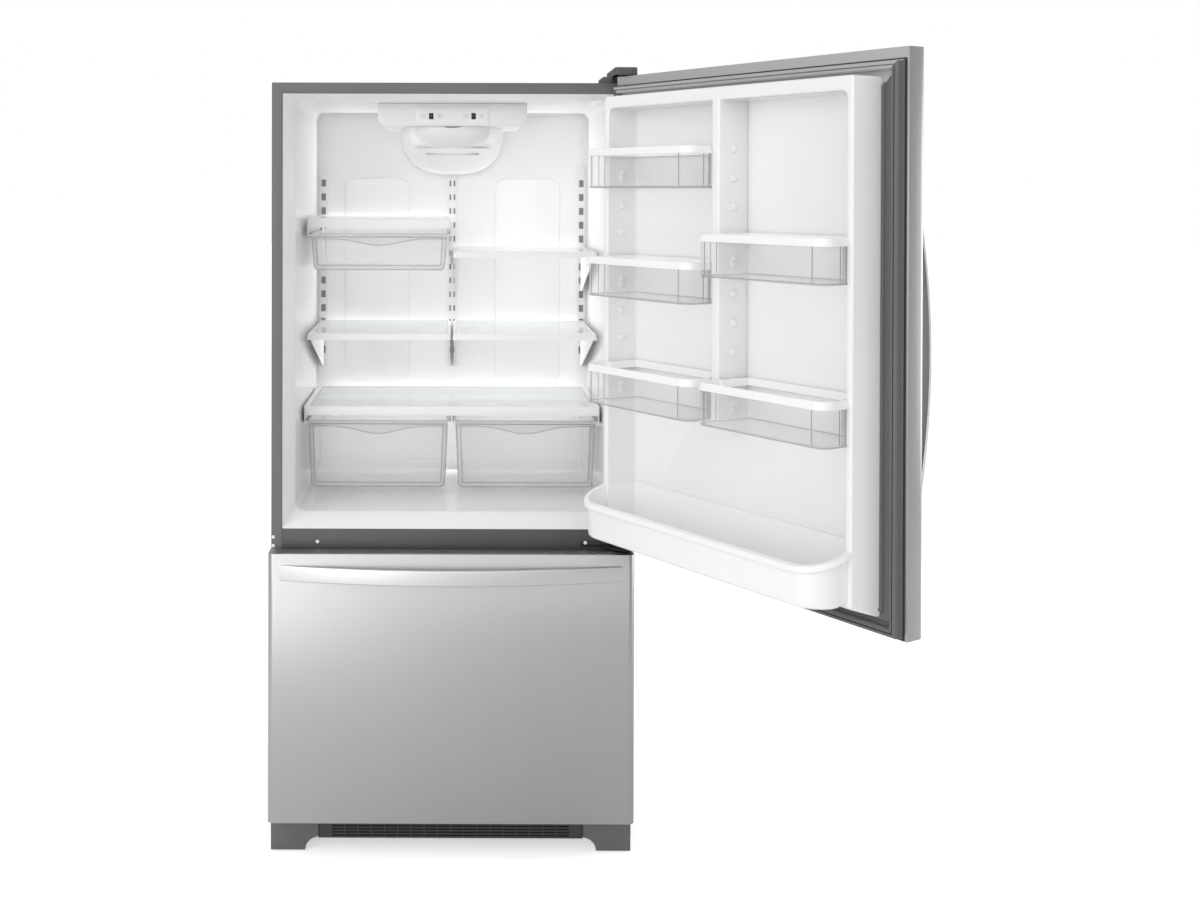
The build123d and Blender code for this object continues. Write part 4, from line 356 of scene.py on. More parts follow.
# Extruded plasticised vinyl: a matt grey seal.
SEAL_VINYL = surface("extruded_vinyl_grey", "#666666", "#5f5f5f", 0.42, 2.0, 0.10)
# A paler copy for the door seal's top length: a painted highlight.
SEAL_PAINTED_HIGHLIGHT = surface("extruded_vinyl_painted_highlight", "#b2b2b2", "#aaaaaa", 0.42, 2.0, 0.10)
# A dark copy for the strip in the seal's recess: painted shade.
SEAL_PAINTED_SHADE = surface("extruded_vinyl_shadow", "#3c3c3c", "#363636", 0.60, 2.0, 0.10)
# Spark-textured ABS on the feet and grille.
CHARCOAL_ABS = surface("textured_abs_charcoal", "#676767", "#5f5f5f", 0.55, 0.9, 0.30)
GRILLE_ABS = surface("textured_abs_grille", "#3d3d3d", "#373737", 0.55, 0.9, 0.25)
COVER_ABS = surface("textured_abs_cover_grey", "#525252", "#4b4b4b", 0.50, 0.9, 0.25)
BLACK_ABS = surface("moulded_abs_black", "#17171a", "#101012", 0.40, 1.5, 0.10)
DISPLAY_BLACK = surface("display_window_black", "#0b0b0d", "#08080a", 0.08, 4.0, 0.01)
PANEL_GREY = surface("printed_fascia_pale_grey", "#f0f0f0", "#eaeaea", 0.35, 2.0, 0.03)
# Hot-dip galvanised sheet: dull zinc.
GALVANISED = surface("galvanised_sheet", "#a6a8aa", "#93969a", 0.48, 14.0, 0.10, metallic=0.9)
ZINC_PLATE = surface("zinc_plated_steel", "#c4c5c6", "#b3b4b6", 0.32, 3.0, 0.05, metallic=1.0)
HINGE_STEEL = surface("blackened_hinge_steel", "#2c2c2d", "#222223", 0.42, 1.5, 0.12, metallic=0.4)
BLACK_ENAMEL = surface("compressor_enamel_black", "#131314", "#1b1b1c", 0.30, 2.0, 0.08, coat=0.2)
FIN_ALUMINIUM = surface("rolled_aluminium_fin", "#cfd2d5", "#bcc0c4", 0.30, 3.0, 0.05, metallic=1.0)
FOAM = surface("blown_polyurethane_foam", "#dccf9b", "#cfc08a", 0.85, 3.0, 0.40)
PLUG_WHITE = surface("moulded_nylon_white", "#f4f4f4", "#ededed", 0.35, 1.0, 0.05)
print("moulded and painted finishes ready")


# %% [markdown]
# Clear bins and drawers are injection-moulded polystyrene. Looking straight through, the wall
# hardly shows. Seen edge on it turns milky, and its rounded edges catch the light. A
# facing-angle blend gives both without the noise of many refracting walls.

# %% Clear polystyrene and shelf glass
def clear_sheet(name, body, edge, straight, grazing, rough, wave=0.05):
    """Thin clear wall: see-through face on, milky where it turns away."""
    material, tree, place = new_material(name)
    haze = add_node(tree, "TexNoise", {"Vector": place, "Scale": per_metre(60), "Detail": 2.0})
    ripple = add_node(tree, "Bump", {
        "Height": haze.outputs[0], "Strength": wave, "Distance": 0.001})
    turn = add_node(tree, "LayerWeight", {"Blend": 0.45})
    steep = add_node(tree, "Math", {0: turn.outputs["Facing"], 1: 2.0}, operation="POWER")
    cover = add_node(tree, "MapRange", {
        "Value": steep.outputs[0], "To Min": straight, "To Max": grazing})
    tone = add_node(tree, "MixRGB", {"Fac": steep.outputs[0], "Color1": linear(body),
                                     "Color2": linear(edge)})
    sheet = add_node(tree, "BsdfPrincipled", {
        "Base Color": tone.outputs[0], "Roughness": rough, "Alpha": cover.outputs[0],
        "IOR": 1.5, "Normal": ripple.outputs[0]})
    show(tree, sheet.outputs[0])
    return material


CLEAR_STYRENE = clear_sheet("moulded_styrene_clear", "#ececec", "#d4d5d5", 0.20, 0.70, 0.12)
# The bins' walls are thinner than the drawers', so they hide less.
BIN_STYRENE = clear_sheet("moulded_styrene_thin", "#f4f4f4", "#d2d4d4", 0.06, 0.60, 0.10)
# A rounded edge of a clear moulding bends the view away from the lit room, so it draws a grey line.
EDGE_STYRENE = clear_sheet("moulded_styrene_edge", "#a2a4a4", "#8e9090", 0.62, 0.85, 0.20)
SHELF_GLASS = clear_sheet("tempered_shelf_glass", "#f1f3f2", "#dbe3e0", 0.12, 0.70, 0.05, 0.0)
FROSTED = clear_sheet("frosted_lamp_cover", "#f4f4f4", "#e6e6e6", 0.88, 0.98, 0.45)
print("clear finishes ready")

# %% [markdown]
# ## Parts that keep their solid
# Slides, coils, motors and rails only need a finish. Sheet metal and mouldings get a copy with
# softened edges, because a bent or moulded edge has a small radius that draws a line of light.

# %% Give a solid its finish
def dress(node, paint):
    """Put one finish on a part that keeps its solid."""
    mesh = frame["nodes"][node].data
    mesh.materials.clear()
    mesh.materials.append(paint)


FLAT = radians(1.0)
SHARP = radians(40.0)


def softened(node, paint, width):
    """Copy a solid, merge its triangles, and round its sharp edges."""
    bm = bmesh.new()
    bm.from_mesh(frame["nodes"][node].data)
    bmesh.ops.remove_doubles(bm, verts=bm.verts, dist=MERGE * MM)
    bmesh.ops.dissolve_limit(bm, angle_limit=FLAT, verts=bm.verts, edges=bm.edges)
    edges = [e for e in bm.edges if len(e.link_faces) == 2 and e.calc_face_angle(0.0) > SHARP]
    bmesh.ops.bevel(bm, geom=edges, offset=width * MM, offset_type="OFFSET", segments=2,
                    profile=0.5, affect="EDGES", material=-1, clamp_overlap=True)
    bmesh.ops.triangulate(bm, faces=[face for face in bm.faces if len(face.verts) > 4])
    return link_piece(bm, node + "_softened", frame["nodes"][node]["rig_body"], paint, [node])


KEPT = {
    "foam_core": FOAM, "door_foam": FOAM, "shelf_tracks": TRACK_PAINT, "fasteners": PLUG_WHITE,
    "fixed_rails": ZINC_PLATE, "moving_rails": ZINC_PLATE, "evaporator": FIN_ALUMINIUM,
    "condenser": BLACK_ENAMEL, "shelf_glass": SHELF_GLASS, "evaporator_fan": BLACK_ABS,
    "condenser_fan": BLACK_ABS, "fan_motors": HINGE_STEEL, "back_panel": GALVANISED,
    "machine_cover": GALVANISED, "base_frame": GALVANISED, "door_bushings": BLACK_ABS,
    "drain_pan": BLACK_ABS, "leg_left": ZINC_PLATE, "leg_right": ZINC_PLATE,
    "rear_rollers": BLACK_ABS, "evaporator_cover": MOULDED_WHITE,
    "humidity_slider_left": PANEL_GREY, "humidity_slider_right": PANEL_GREY,
}
for node_name, paint in KEPT.items():
    dress(node_name, paint)

softened("cabinet_shell", GREY_PAINT, 0.5)
softened("centre_rail", RAIL_SHADED_PAINT, 0.3)
softened("door_skin", STEEL_UPRIGHT, 0.5)
softened("drawer_skin", STEEL_UPRIGHT, 0.5)
softened("hinge_cover", COVER_ABS, 1.0)
softened("hinge_brackets", HINGE_STEEL, 0.5)
grille = softened("toe_grille", CHARCOAL_ABS, 0.5)
grille.data.materials.append(GRILLE_ABS)
GRILLE_HALF = 0.3045
for face in grille.data.polygons:
    if abs(face.center.x - CENTRE) < GRILLE_HALF:
        face.material_index = 1
softened("control_housing", MOULDED_WHITE, 1.5)
softened("control_panel", PANEL_GREY, 0.3)
softened("crisper_cover", MOULDED_WHITE, 1.2)
softened("drawer_core", FORMED_WHITE, 1.5)
softened("freezer_liner", FORMED_WHITE, 0.8)
softened("compressor", BLACK_ENAMEL, 1.0)
softened("cord_gland", BLACK_ABS, 0.5)
softened("lower_basket", MOULDED_WHITE, 1.0)
softened("upper_basket", MOULDED_WHITE, 1.0)
for number in range(1, 5):
    softened(f"key_{number}", PANEL_GREY, 0.4)
print("solids dressed", len(KEPT))

# %% [markdown]
# Behind the grille lies the unlit space under the box. A dark leaf in front of the base frame
# closes the view into it: painted shade.

# %% Painted shade behind the grille
shade_leaf = bmesh.new()
slab(shade_leaf, both(300.0), (-6.6, -6.2), (32.0, 90.0))
finish_piece(shade_leaf, "painted_shade_behind_grille", "cabinet", BLACK_ABS)

# %% [markdown]
# ## The fridge liner
# The white inside is one sheet of polystyrene, sucked hot over a mould: a tapered mouth that meets
# the grey flange, a soft shoulder, straight walls and tight round corners at the back. Its
# rectangles differ from station to station, so the stations are written out.

# %% Shape the fridge liner
MOUTH = (both(390.5), (740.5, 1744.5))
THROAT = (both(367.0), (768.0, 1732.0))
BACK_Y = 585.0
LIP_Y = 60.0
WALL_T = 2.0


def grown(spans, by):
    """Rectangle spans, larger on every side."""
    return tuple((span[0] - by, span[1] + by) for span in spans)


def between(first, second, share):
    """Rectangle part of the way from one to another."""
    return tuple(tuple(a + (b - a) * share for a, b in zip(*pair)) for pair in zip(first, second))


def loft(bm, stations, axis="Y", caps=(True, True)):
    """Join rounded rectangles: each station is (spans, radii, depth)."""
    places = [seat(loop_places(spans[0], spans[1], radii, 0.0), depth, axis)
              for spans, radii, depth in stations]
    carry(bm, places, caps)


liner = bmesh.new()
inside = [
    (MOUTH, 6.0, 1.4), (between(MOUTH, THROAT, 0.04), 6.5, 2.6),
    (between(MOUTH, THROAT, 0.88), 18.0, LIP_Y - 7.0),
    (between(MOUTH, THROAT, 0.95), 20.0, LIP_Y - 3.0),
    (between(MOUTH, THROAT, 0.99), 21.5, LIP_Y + 1.0), (THROAT, 22.0, LIP_Y + 6.0),
    (THROAT, 22.0, BACK_Y - 7.0), (grown(THROAT, -0.8), 21.0, BACK_Y - 3.5),
    (grown(THROAT, -2.6), 19.5, BACK_Y - 1.2), (grown(THROAT, -6.0), 16.0, BACK_Y)]
outside = [
    (grown(THROAT, WALL_T), 24.0, BACK_Y + WALL_T), (grown(THROAT, WALL_T), 24.0, LIP_Y),
    (grown(MOUTH, 0.5), 8.0, 3.4), (grown(MOUTH, 9.0), 10.0, 3.2), (grown(MOUTH, 9.0), 10.0, 1.4)]
loft(liner, outside + inside)
for side in (-1, 1):
    ledge = sorted((side * 353.5, side * 368.0))
    slab(liner, ledge, (207.0, 526.0), (946.0, 954.5), 1.0)
finish_piece(liner, "fridge_liner_formed", "cabinet", FORMED_WHITE,
             ["fridge_liner"])

# %% [markdown]
# The back wall carries two raised panels. The formed sheet flows over them, so their edges are
# broad rounds that only show as a thin line of shade.

# %% Raised panels on the back wall
pads = bmesh.new()
for side in (-1, 1):
    pad_x = sorted((side * 118.0, side * 290.0))
    step = rounded([(-3.0, 585.6, 0), (0.5, 580.6, 2.0), (14.0, 580.0, 0)])
    ring(pads, pad_x, (1006.0, 1554.0), 25.0, step, caps=(True, True))
finish_piece(pads, "back_wall_panels", "cabinet", FORMED_WHITE)

# %% [markdown]
# The shelf tracks are strips of steel with punched slots. A dark leaf at the bottom of each pocket
# is painted shade for the dark gap behind each slot, and gives the row of grey dashes seen in the
# photograph.

# %% Painted shade in the slots of the shelf tracks
SLOT_ROWS, SLOT_TOP, SLOT_PITCH = 13, 1542.0, 37.6
slots = bmesh.new()
for row in range(SLOT_ROWS):
    middle = SLOT_TOP - SLOT_PITCH * row
    for x, half_w, half_h in ((-349.5, 6.0, 9.5), (349.5, 6.0, 9.5),
                              (-5.5, 2.2, 7.5), (5.5, 2.2, 7.5)):
        slab(slots, (x - half_w, x + half_w), (584.0, 584.3), (middle - half_h, middle + half_h))
finish_piece(slots, "shelf_track_slot_shade", "cabinet", surface(
    "punched_slot_shadow", "#8a8a8a", "#818181", 0.7, 2.0, 0.05))

# %% [markdown]
# ## Lamp and air cover
# Under the control housing hangs a moulded bowl: a flat-bottomed arch from the front, and from the
# side a quarter round that reaches the back wall. It is extruded through open arches that grow
# from front to back, then given its wall.

# %% Shape the bowl
BOWL_FRONT, BOWL_TOP, BOWL_HALF, BOWL_DROP = 165.0, 1677.6, 133.0, 111.5
ARCH_STEPS = 36


def arch(depth):
    """Open arch across the bowl at one depth."""
    reach = (BACK_Y - depth) / (BACK_Y - BOWL_FRONT)
    drop = BOWL_DROP * max(1 - reach ** 2.2, 0.0) ** 0.5
    half = BOWL_HALF * max(1 - reach ** 4.0, 0.0) ** 0.32
    places = []
    for step in range(ARCH_STEPS + 1):
        angle = pi * step / ARCH_STEPS
        across, down = cos(angle), sin(angle)
        places.append(Vector((half * copysign(abs(across) ** 0.78, across), depth,
                              BOWL_TOP - drop * down ** 0.78)))
    return places


BOWL_STEPS = 26
bowl = bmesh.new()
depths = [BOWL_FRONT + (BACK_Y - 1.0 - BOWL_FRONT) * (step / BOWL_STEPS) ** 1.6
          for step in range(BOWL_STEPS + 1)]
line = [bowl.verts.new(place) for place in arch(depths[0] + 0.3)]
edges = [bowl.edges.new(pair) for pair in zip(line, line[1:])]
for depth in depths[1:]:
    line = next_loop(bowl, line, edges, arch(depth))
    edges = [bowl.edges.get(pair) for pair in zip(line, line[1:])]
bmesh.ops.recalc_face_normals(bowl, faces=bowl.faces)
bmesh.ops.solidify(bowl, geom=bowl.faces, thickness=2.5)
finish_piece(bowl, "lamp_bowl", "cabinet", FROSTED, ["light_dome"])

# %% [markdown]
# Two air louvres run across the front of the bowl. Each is a slim lip that follows the bowl's
# own curve at one height, so the same arch formula places it.

# %% Air louvres on the bowl
def bowl_depth(x, z):
    """Depth at which the bowl's skin passes one height near its middle."""
    low_y, high_y = BOWL_FRONT, BACK_Y
    for _ in range(40):
        middle = (low_y + high_y) / 2
        places = arch(middle)
        skin = [place.z for place in places if abs(place.x - x) < BOWL_HALF / 8]
        if skin and min(skin) < z:
            high_y = middle
        else:
            low_y = middle
    return high_y


LOUVRE_STEPS = 24
louvres = bmesh.new()
for height, half in ((1626.0, 92.0), (1611.0, 66.0)):
    for step in range(LOUVRE_STEPS):
        x0 = -half + 2 * half * step / LOUVRE_STEPS
        x1 = -half + 2 * half * (step + 1) / LOUVRE_STEPS
        y = bowl_depth((x0 + x1) / 2, height)
        slab(louvres, (x0, x1 + 0.2), (y - 2.0, y + 6.0), (height - 1.2, height + 1.2))
# The louvres are painted grey: painted shade for the shadow along each lip.
finish_piece(louvres, "lamp_bowl_louvres", "cabinet", surface(
    "louvre_shadow_grey", "#c9c9c9", "#bfbfbf", 0.5, 2.0, 0.05))

# %% [markdown]
# ## Shelves
# A spill-proof shelf is a pane of tempered glass in a moulded white rim, whose top edge is
# rounded. Steel brackets hook into the tracks.

# %% Shelf rims and brackets
SHELF_Y = (200.0, 570.0)
DELI_RAIL_Y, DELI_RAIL_H = (212.0, 550.0), 20.5
SHELVES = {
    "deli_shelf": ((-356.0, -1.5), 1455.0, 24.0, 530.0),
    "right_shelf": ((1.5, 356.0), 1374.0, 16.0, 214.0),
    "low_left_shelf": ((-356.0, -1.5), 1173.0, 17.0, 214.0),
    "low_right_shelf": ((1.5, 356.0), 1173.0, 17.0, 214.0)}


ARM_BACK, ARM_DROP, ARM_FOOT, ARM_T = 581.7, 108.0, 30.0, 2.0


def bracket(bm, x, top, front):
    """Cantilever bracket: a folded steel triangle, thin across the shelf."""
    foot = top - ARM_DROP
    outline = ((front, top), (ARM_BACK, top), (ARM_BACK, foot), (ARM_BACK - ARM_FOOT, foot))
    verts = [bm.verts.new((x - ARM_T / 2, y, z)) for y, z in outline]
    face = bmesh.ops.contextual_create(bm, geom=round_edges(bm.edges.new, verts))["faces"]
    moved = only_verts(bmesh.ops.extrude_face_region(bm, geom=face))
    bmesh.ops.translate(bm, vec=(ARM_T, 0, 0), verts=moved)


for name, (span, top, height, reach) in SHELVES.items():
    rim = bmesh.new()
    profile = rounded([(0, top - height, 0), (0, top, 3.5), (9.0, top, 1.5), (9.0, top - 5.0, 0.4),
                       (14.0, top - 5.0, 0.4), (14.0, top - height, 1.0), (9.0, top - height, 0),
                       (0.5, top - height, 0)])
    ring(rim, span, SHELF_Y, 6.0, profile, axis="Z", closed=True)
    finish_piece(rim, name + "_rim", "cabinet", MOULDED_WHITE, ["shelf_frames"])
    arms = bmesh.new()
    side = copysign(1, sum(span))
    for x in (side * 5.5, side * 348.5):
        bracket(arms, x, top - height + 2.0, reach)
    if name == "deli_shelf":
        rail_top = top - height
        rail_foot = rail_top - DELI_RAIL_H
        for wall, inward in ((span[0], 1), (span[1], -1)):
            web = sorted((wall, wall + 2.0 * inward))
            lip = sorted((wall, wall + 6.0 * inward))
            slab(arms, web, DELI_RAIL_Y, (rail_foot, rail_top), 0.4)
            slab(arms, lip, DELI_RAIL_Y, (rail_foot, rail_foot + 2.5), 0.4)
    finish_piece(arms, name + "_brackets", "cabinet", TRACK_PAINT)
print("shelves", len(SHELVES))


# %% [markdown]
# ## Clear drawers
# Crispers and the deli drawer are deep clear trays. The walls lean in towards the bottom so the
# moulding leaves its tool, and the front has a pull whose lower edge dips in a wave.

# %% Shape a clear tray
TRAY_WALL = 2.5
TRAY_LEAN = 7.0
TRAY_ROUND = 16.0
TRAY_IN = (6.8, 6.0)
LINE_W = 1.9
PULL_COLUMNS, PULL_ROWS = 40, 12
PULL_END_H = 14.0
PULL_T = 3.4
WAVE_SHARE = 0.19
WAVE_OUT = 2.2


def wave_at(across, lip, z, dip):
    """Place along the pull, swell and height of its lower edge, at a share of its length."""
    swell = exp(-((across - 0.5) / WAVE_SHARE) ** 2)
    bottom = z[1] - PULL_END_H - (dip - PULL_END_H) * swell
    return lip[0] + (lip[1] - lip[0]) * across, swell, bottom


def tray_pull(bm, lip, y, z, dip):
    """Upright pull across the front, whose lower edge dips and swells forward at the middle."""
    made = bmesh.ops.create_grid(
        bm, x_segments=PULL_COLUMNS, y_segments=PULL_ROWS, size=0.5)["verts"]
    bmesh.ops.rotate(bm, verts=made, cent=(0, 0, 0), matrix=Matrix.Rotation(radians(90), 3, "X"))
    for vertex in made:
        across, up = vertex.co.x + 0.5, vertex.co.z + 0.5
        x, swell, bottom = wave_at(across, lip, z, dip)
        depth = y + 2.6 - WAVE_OUT * swell * (1 - up)
        vertex.co = Vector((x, depth, bottom + (z[1] - bottom) * up))
    faces = list({face for vertex in made for face in vertex.link_faces})
    moved = only_verts(bmesh.ops.extrude_face_region(bm, geom=faces))
    bmesh.ops.translate(bm, vec=(0, PULL_T, 0), verts=moved)
    slab(bm, lip, (y + 2.0, y + 8.0), (z[1] - 2.5, z[1] - 0.1), 0.7)


def wave_line(bm, lip, y, z, dip):
    """Thin upright line along the pull's lower edge."""
    wave = []
    for step in range(PULL_COLUMNS + 1):
        x, swell, bottom = wave_at(step / PULL_COLUMNS, lip, z, dip)
        wave.append(bm.verts.new((x, y + 2.3 - WAVE_OUT * swell, bottom)))
    edges = [bm.edges.new(pair) for pair in zip(wave, wave[1:])]
    moved = only_verts(bmesh.ops.extrude_edge_only(bm, edges=edges))
    bmesh.ops.translate(bm, vec=(0, 0, LINE_W), verts=moved)


def leaning_line(bm, x, z, y, inset):
    """Thin raised line round a drawer's front, whose sides lean in towards the bottom."""
    already = set(bm.verts)
    ring(bm, (x[0] + inset, x[1] - inset), (z[0] + inset, z[1] - 8.0),
         (max(13.0 - inset, 4.0), 1.0), [(0, y), (0, y - 0.6), (LINE_W, y - 0.6), (LINE_W, y)],
         closed=True)
    middle, half = (x[0] + x[1]) / 2, (x[1] - x[0]) / 2
    for vertex in set(bm.verts) - already:
        lean = TRAY_LEAN * (1 - (vertex.co.z - z[0]) / (z[1] - z[0]))
        vertex.co.x = middle + (vertex.co.x - middle) * (half - lean) / half


def tray(name, x, y, z, dip, replaced):
    """Clear drawer between its ranges, with side flanges and a waved pull."""
    bm = bmesh.new()
    top = ((x[0] + TRAY_IN[0], x[1] - TRAY_IN[0]), (y[0] + TRAY_IN[1], y[1]))
    foot = ((top[0][0] + TRAY_LEAN, top[0][1] - TRAY_LEAN), top[1])

    def wall(share, inset, height):
        spans = grown(between(foot, top, share), -inset)
        return (spans, max(TRAY_ROUND - inset, 1.5), height)

    outer = [wall(0.0, 5.0, z[0]), wall(0.0, 1.5, z[0] + 1.5), wall(0.0, 0.0, z[0] + 5.0),
             wall(1.0, 0.0, z[1] - 0.8), wall(1.0, 0.6, z[1])]
    inner = [wall(1.0, TRAY_WALL - 0.6, z[1]), wall(1.0, TRAY_WALL, z[1] - 0.8),
             wall(0.0, TRAY_WALL, z[0] + TRAY_WALL + 4.0),
             wall(0.0, TRAY_WALL + 4.0, z[0] + TRAY_WALL)]
    loft(bm, outer + inner, axis="Z")
    for edge, inward in ((x[0], 1), (x[1], -1)):
        reach = sorted((edge + inward * 1.0, edge + inward * 9.0))
        slab(bm, reach, (y[0] + 20.0, y[1] - 20.0), (z[1] - 3.5, z[1] - 0.2), 0.5)
    lip = (x[0] + 8.8, x[1] - 8.8)
    tray_pull(bm, lip, y[0], z, dip)
    finish_piece(bm, name, replaced, CLEAR_STYRENE, [replaced])
    lines = bmesh.new()
    for inset in (0.8, 11.0):
        leaning_line(lines, top[0], z, y[0] + 5.8, inset)
    wave_line(lines, lip, y[0], z, dip)
    finish_piece(lines, name + "_edges", replaced, EDGE_STYRENE)


tray("crisper_left_tray", (-357.7, -1.8), (186.0, 540.0), (797.0, 960.8), 32.0, "crisper_left")
tray("crisper_right_tray", (1.8, 357.7), (186.0, 540.0), (797.0, 960.8), 32.0, "crisper_right")
tray("deli_drawer_tray", (-353.7, -3.8), (203.0, 520.0), (1326.0, 1416.8), 30.0, "deli_drawer")

# %% [markdown]
# ## The control fascia
# Two small black windows show the set temperatures, between pairs of keys. A plain minus and plus
# in pale grey stand for the faint marks on the real keys.

# %% Displays and key marks
MARK_Z = 1701.0
windows = bmesh.new()
for x in both(51.0):
    slab(windows, (x - 5.4, x + 5.4), (147.9, 148.7), (MARK_Z - 7.4, MARK_Z + 7.4), 0.3)
finish_piece(windows, "display_windows", "cabinet", DISPLAY_BLACK)
for number, x in enumerate((-70.0, -32.0, 32.0, 70.0), start=1):
    mark = bmesh.new()
    slab(mark, (x - 2.6, x + 2.6), (146.2, 146.6), (MARK_Z - 0.4, MARK_Z + 0.4))
    if number % 2 == 0:
        slab(mark, (x - 0.4, x + 0.4), (146.2, 146.6), (MARK_Z - 2.6, MARK_Z + 2.6))
    finish_piece(mark, f"key_{number}_mark", f"key_{number}", surface(
        f"pad_printed_ink_{number}", "#b4b4b4", "#adadad", 0.5, 1.0, 0.02))
print("fascia done")

# %% [markdown]
# ## The fridge door
# The door's inner face is a formed white sheet with a raised frame, called the dikes, a centre
# rib and small buttons that the bins hang on. It is shaped closed and then turned with the door.

# %% Shape the door liner
PLATE = (both(405.5), (718.5, 1756.5))
DIKE = (both(359.5), (742.0, 1731.0))
DIKE_TIP = (both(359.5), (769.5, 1731.0))
POCKET = (both(344.5), (778.0, 1704.0))
CREST = 60.0
CREST_STEPS = 4
RIB_FOOT = 1060.0
BIN_PITCH, BIN_TOP = 58.5, 1616.0
BUTTON_ROWS, BUTTON_DROP, BUTTON = 10, 9.5, 7.0
door_sheet = bmesh.new()
stations = [
    (PLATE, 4.0, -22.0), (PLATE, 4.0, -19.5), (grown(DIKE, 3.0), 9.0, -19.5),
    (grown(DIKE, 0.8), 7.5, -18.6), (between(DIKE, DIKE_TIP, 0.04), 7.0, -16.0),
    (between(DIKE, DIKE_TIP, 0.92), 7.0, CREST - 5.0)]
for step in range(1, CREST_STEPS + 1):
    turn = radians(90 * step / CREST_STEPS)
    spans = grown(DIKE_TIP, -4.5 * (1 - cos(turn)))
    stations.append((spans, 6.0, CREST - 5.0 + 5.0 * sin(turn)))
for step in range(CREST_STEPS + 1):
    turn = radians(90 * step / CREST_STEPS)
    spans = grown(POCKET, 4.0 * (1 - sin(turn)))
    stations.append((spans, 14.0, CREST - 4.0 * (1 - cos(turn))))
stations += [(POCKET, 12.0, CREST - 6.0), (POCKET, 12.0, -12.0), (grown(POCKET, -0.8), 11.5, -15.5),
             (grown(POCKET, -3.0), 10.0, -18.4), (grown(POCKET, -7.0), 8.0, -19.4)]
loft(door_sheet, stations)
slab(door_sheet, both(11.5), (-20.0, CREST - 0.2), (RIB_FOOT, 1712.0), 4.0, 3)
for row in range(BUTTON_ROWS):
    z = BIN_TOP - BUTTON_DROP - BIN_PITCH * row
    for side in (-1, 1):
        for near, far in ((340.0, 345.5), (10.5, 16.0)):
            if near > 100.0 or z - 2 * BUTTON > RIB_FOOT:
                slab(door_sheet, sorted((side * near, side * far)), (20.0 - BUTTON, 20.0 + BUTTON),
                     (z - BUTTON, z + BUTTON), 2.0)
finish_piece(door_sheet, "door_liner_formed", "fridge_door", FORMED_WHITE,
             ["door_liner"])

# %% [markdown]
# The seal is an extruded vinyl profile with a magnet inside: a flat foot with an inner lip, and on
# it a balloon that touches the cabinet. The grooves between them read as dark lines. Its four
# lengths are mitred, and the door's top one is painted paler: a painted highlight for the light it
# catches. A dark strip in the recess it sits in is painted shade.

# %% Door and drawer seals
def seal_profile(foot, tip):
    """Section of the seal from its outer edge inwards: (inset, depth, radius)."""
    return rounded([
        (0.0, foot, 0), (0.0, foot + 4.0, 1.2), (2.6, foot + 4.0, 0.6), (2.6, tip - 3.5, 0.5),
        (4.4, tip, 1.2), (8.2, tip, 0.6), (8.6, tip - 5.0, 0.3), (10.6, tip - 5.0, 0.3),
        (11.0, tip, 0.6), (15.2, tip, 1.2), (17.4, tip - 4.0, 0.8), (17.4, foot + 4.0, 0.6),
        (24.0, foot + 4.0, 1.5), (27.0, foot + 6.5, 2.0), (33.0, foot + 4.0, 2.0),
        (39.0, foot + 4.0, 1.0), (41.0, foot + 9.0, 1.2), (46.6, foot + 9.0, 1.2),
        (47.5, foot, 0)], steps=3)


SEAL_W = 47.5
SEAL_HALF = 408.0


def seal(name, z, body, replaced):
    """Seal round a front, and a dark strip of painted shade in the recess it sits in."""
    bm = bmesh.new()
    ring(bm, both(SEAL_HALF), z, 1.0, seal_profile(-19.5, -1.2), closed=True)
    # On the door, the top length takes the second, paler finish: a painted highlight.
    for face in bm.faces:
        middle = face.calc_center_median()
        above = middle.z - (z[1] - SEAL_W)
        face.material_index = int(above > 0 and above > abs(middle.x) - (SEAL_HALF - SEAL_W))
    made = finish_piece(bm, name, body, SEAL_VINYL, [replaced])
    made.data.materials.append(SEAL_PAINTED_HIGHLIGHT if body == "fridge_door" else SEAL_VINYL)
    # The dark strip in the recess behind the seal is painted shade.
    shade = bmesh.new()
    ring(shade, both(SEAL_HALF + 3.0), (z[0] - 3.0, z[1] + 3.0), 1.0,
         [(0, -21.9), (0, -21.2), (6.0, -21.2), (6.0, -21.9)], closed=True)
    finish_piece(shade, name + "_recess_shade", body, SEAL_PAINTED_SHADE)


seal("door_seal", (716.0, 1759.0), "fridge_door", "door_gasket")
seal("drawer_seal", (97.0, 692.0), "freezer_drawer", "drawer_gasket")

# %% [markdown]
# Above the seal the door's sheet is folded over and mitred at its corners. The brush lines of that
# fold run level, and its steel is painted lighter than the fold down each side: a painted
# highlight.

# %% Top fold of the door
FOLD_LOW, FOLD_TOP = 1762.0, 1781.6
FOLD_LOW_HALF, FOLD_TOP_HALF = 411.0, 415.1
fold = bmesh.new()
slab(fold, both(1.0), (-22.2, -21.7), (FOLD_LOW, FOLD_TOP))
for vertex in fold.verts:
    vertex.co.x *= FOLD_TOP_HALF if vertex.co.z > (FOLD_LOW + FOLD_TOP) / 2 else FOLD_LOW_HALF
finish_piece(fold, "door_top_fold", "fridge_door", STEEL_LEVEL_LIT)

# %% [markdown]
# ## Door bins
# Each small bin is a white rim that clips over a clear bucket. It is wide in front of the dikes
# and narrow between them, so a plain ring is cut at the dikes' crest and its back drawn in.

# %% Draw in the part behind the dikes
def draw_in(bm, wide, narrow, crest=60.3):
    """Move everything behind the crest towards the pocket's width."""
    for depth in (crest - 0.4, crest):
        geom = bm.verts[:] + bm.edges[:] + bm.faces[:]
        bmesh.ops.bisect_plane(bm, geom=geom, dist=1e-4, plane_co=(0, depth, 0), plane_no=(0, 1, 0))
    middle = sum(wide) / 2
    for vertex in bm.verts:
        if vertex.co.y < crest - 0.2:
            vertex.co.x += narrow[0] - wide[0] if vertex.co.x < middle else narrow[1] - wide[1]


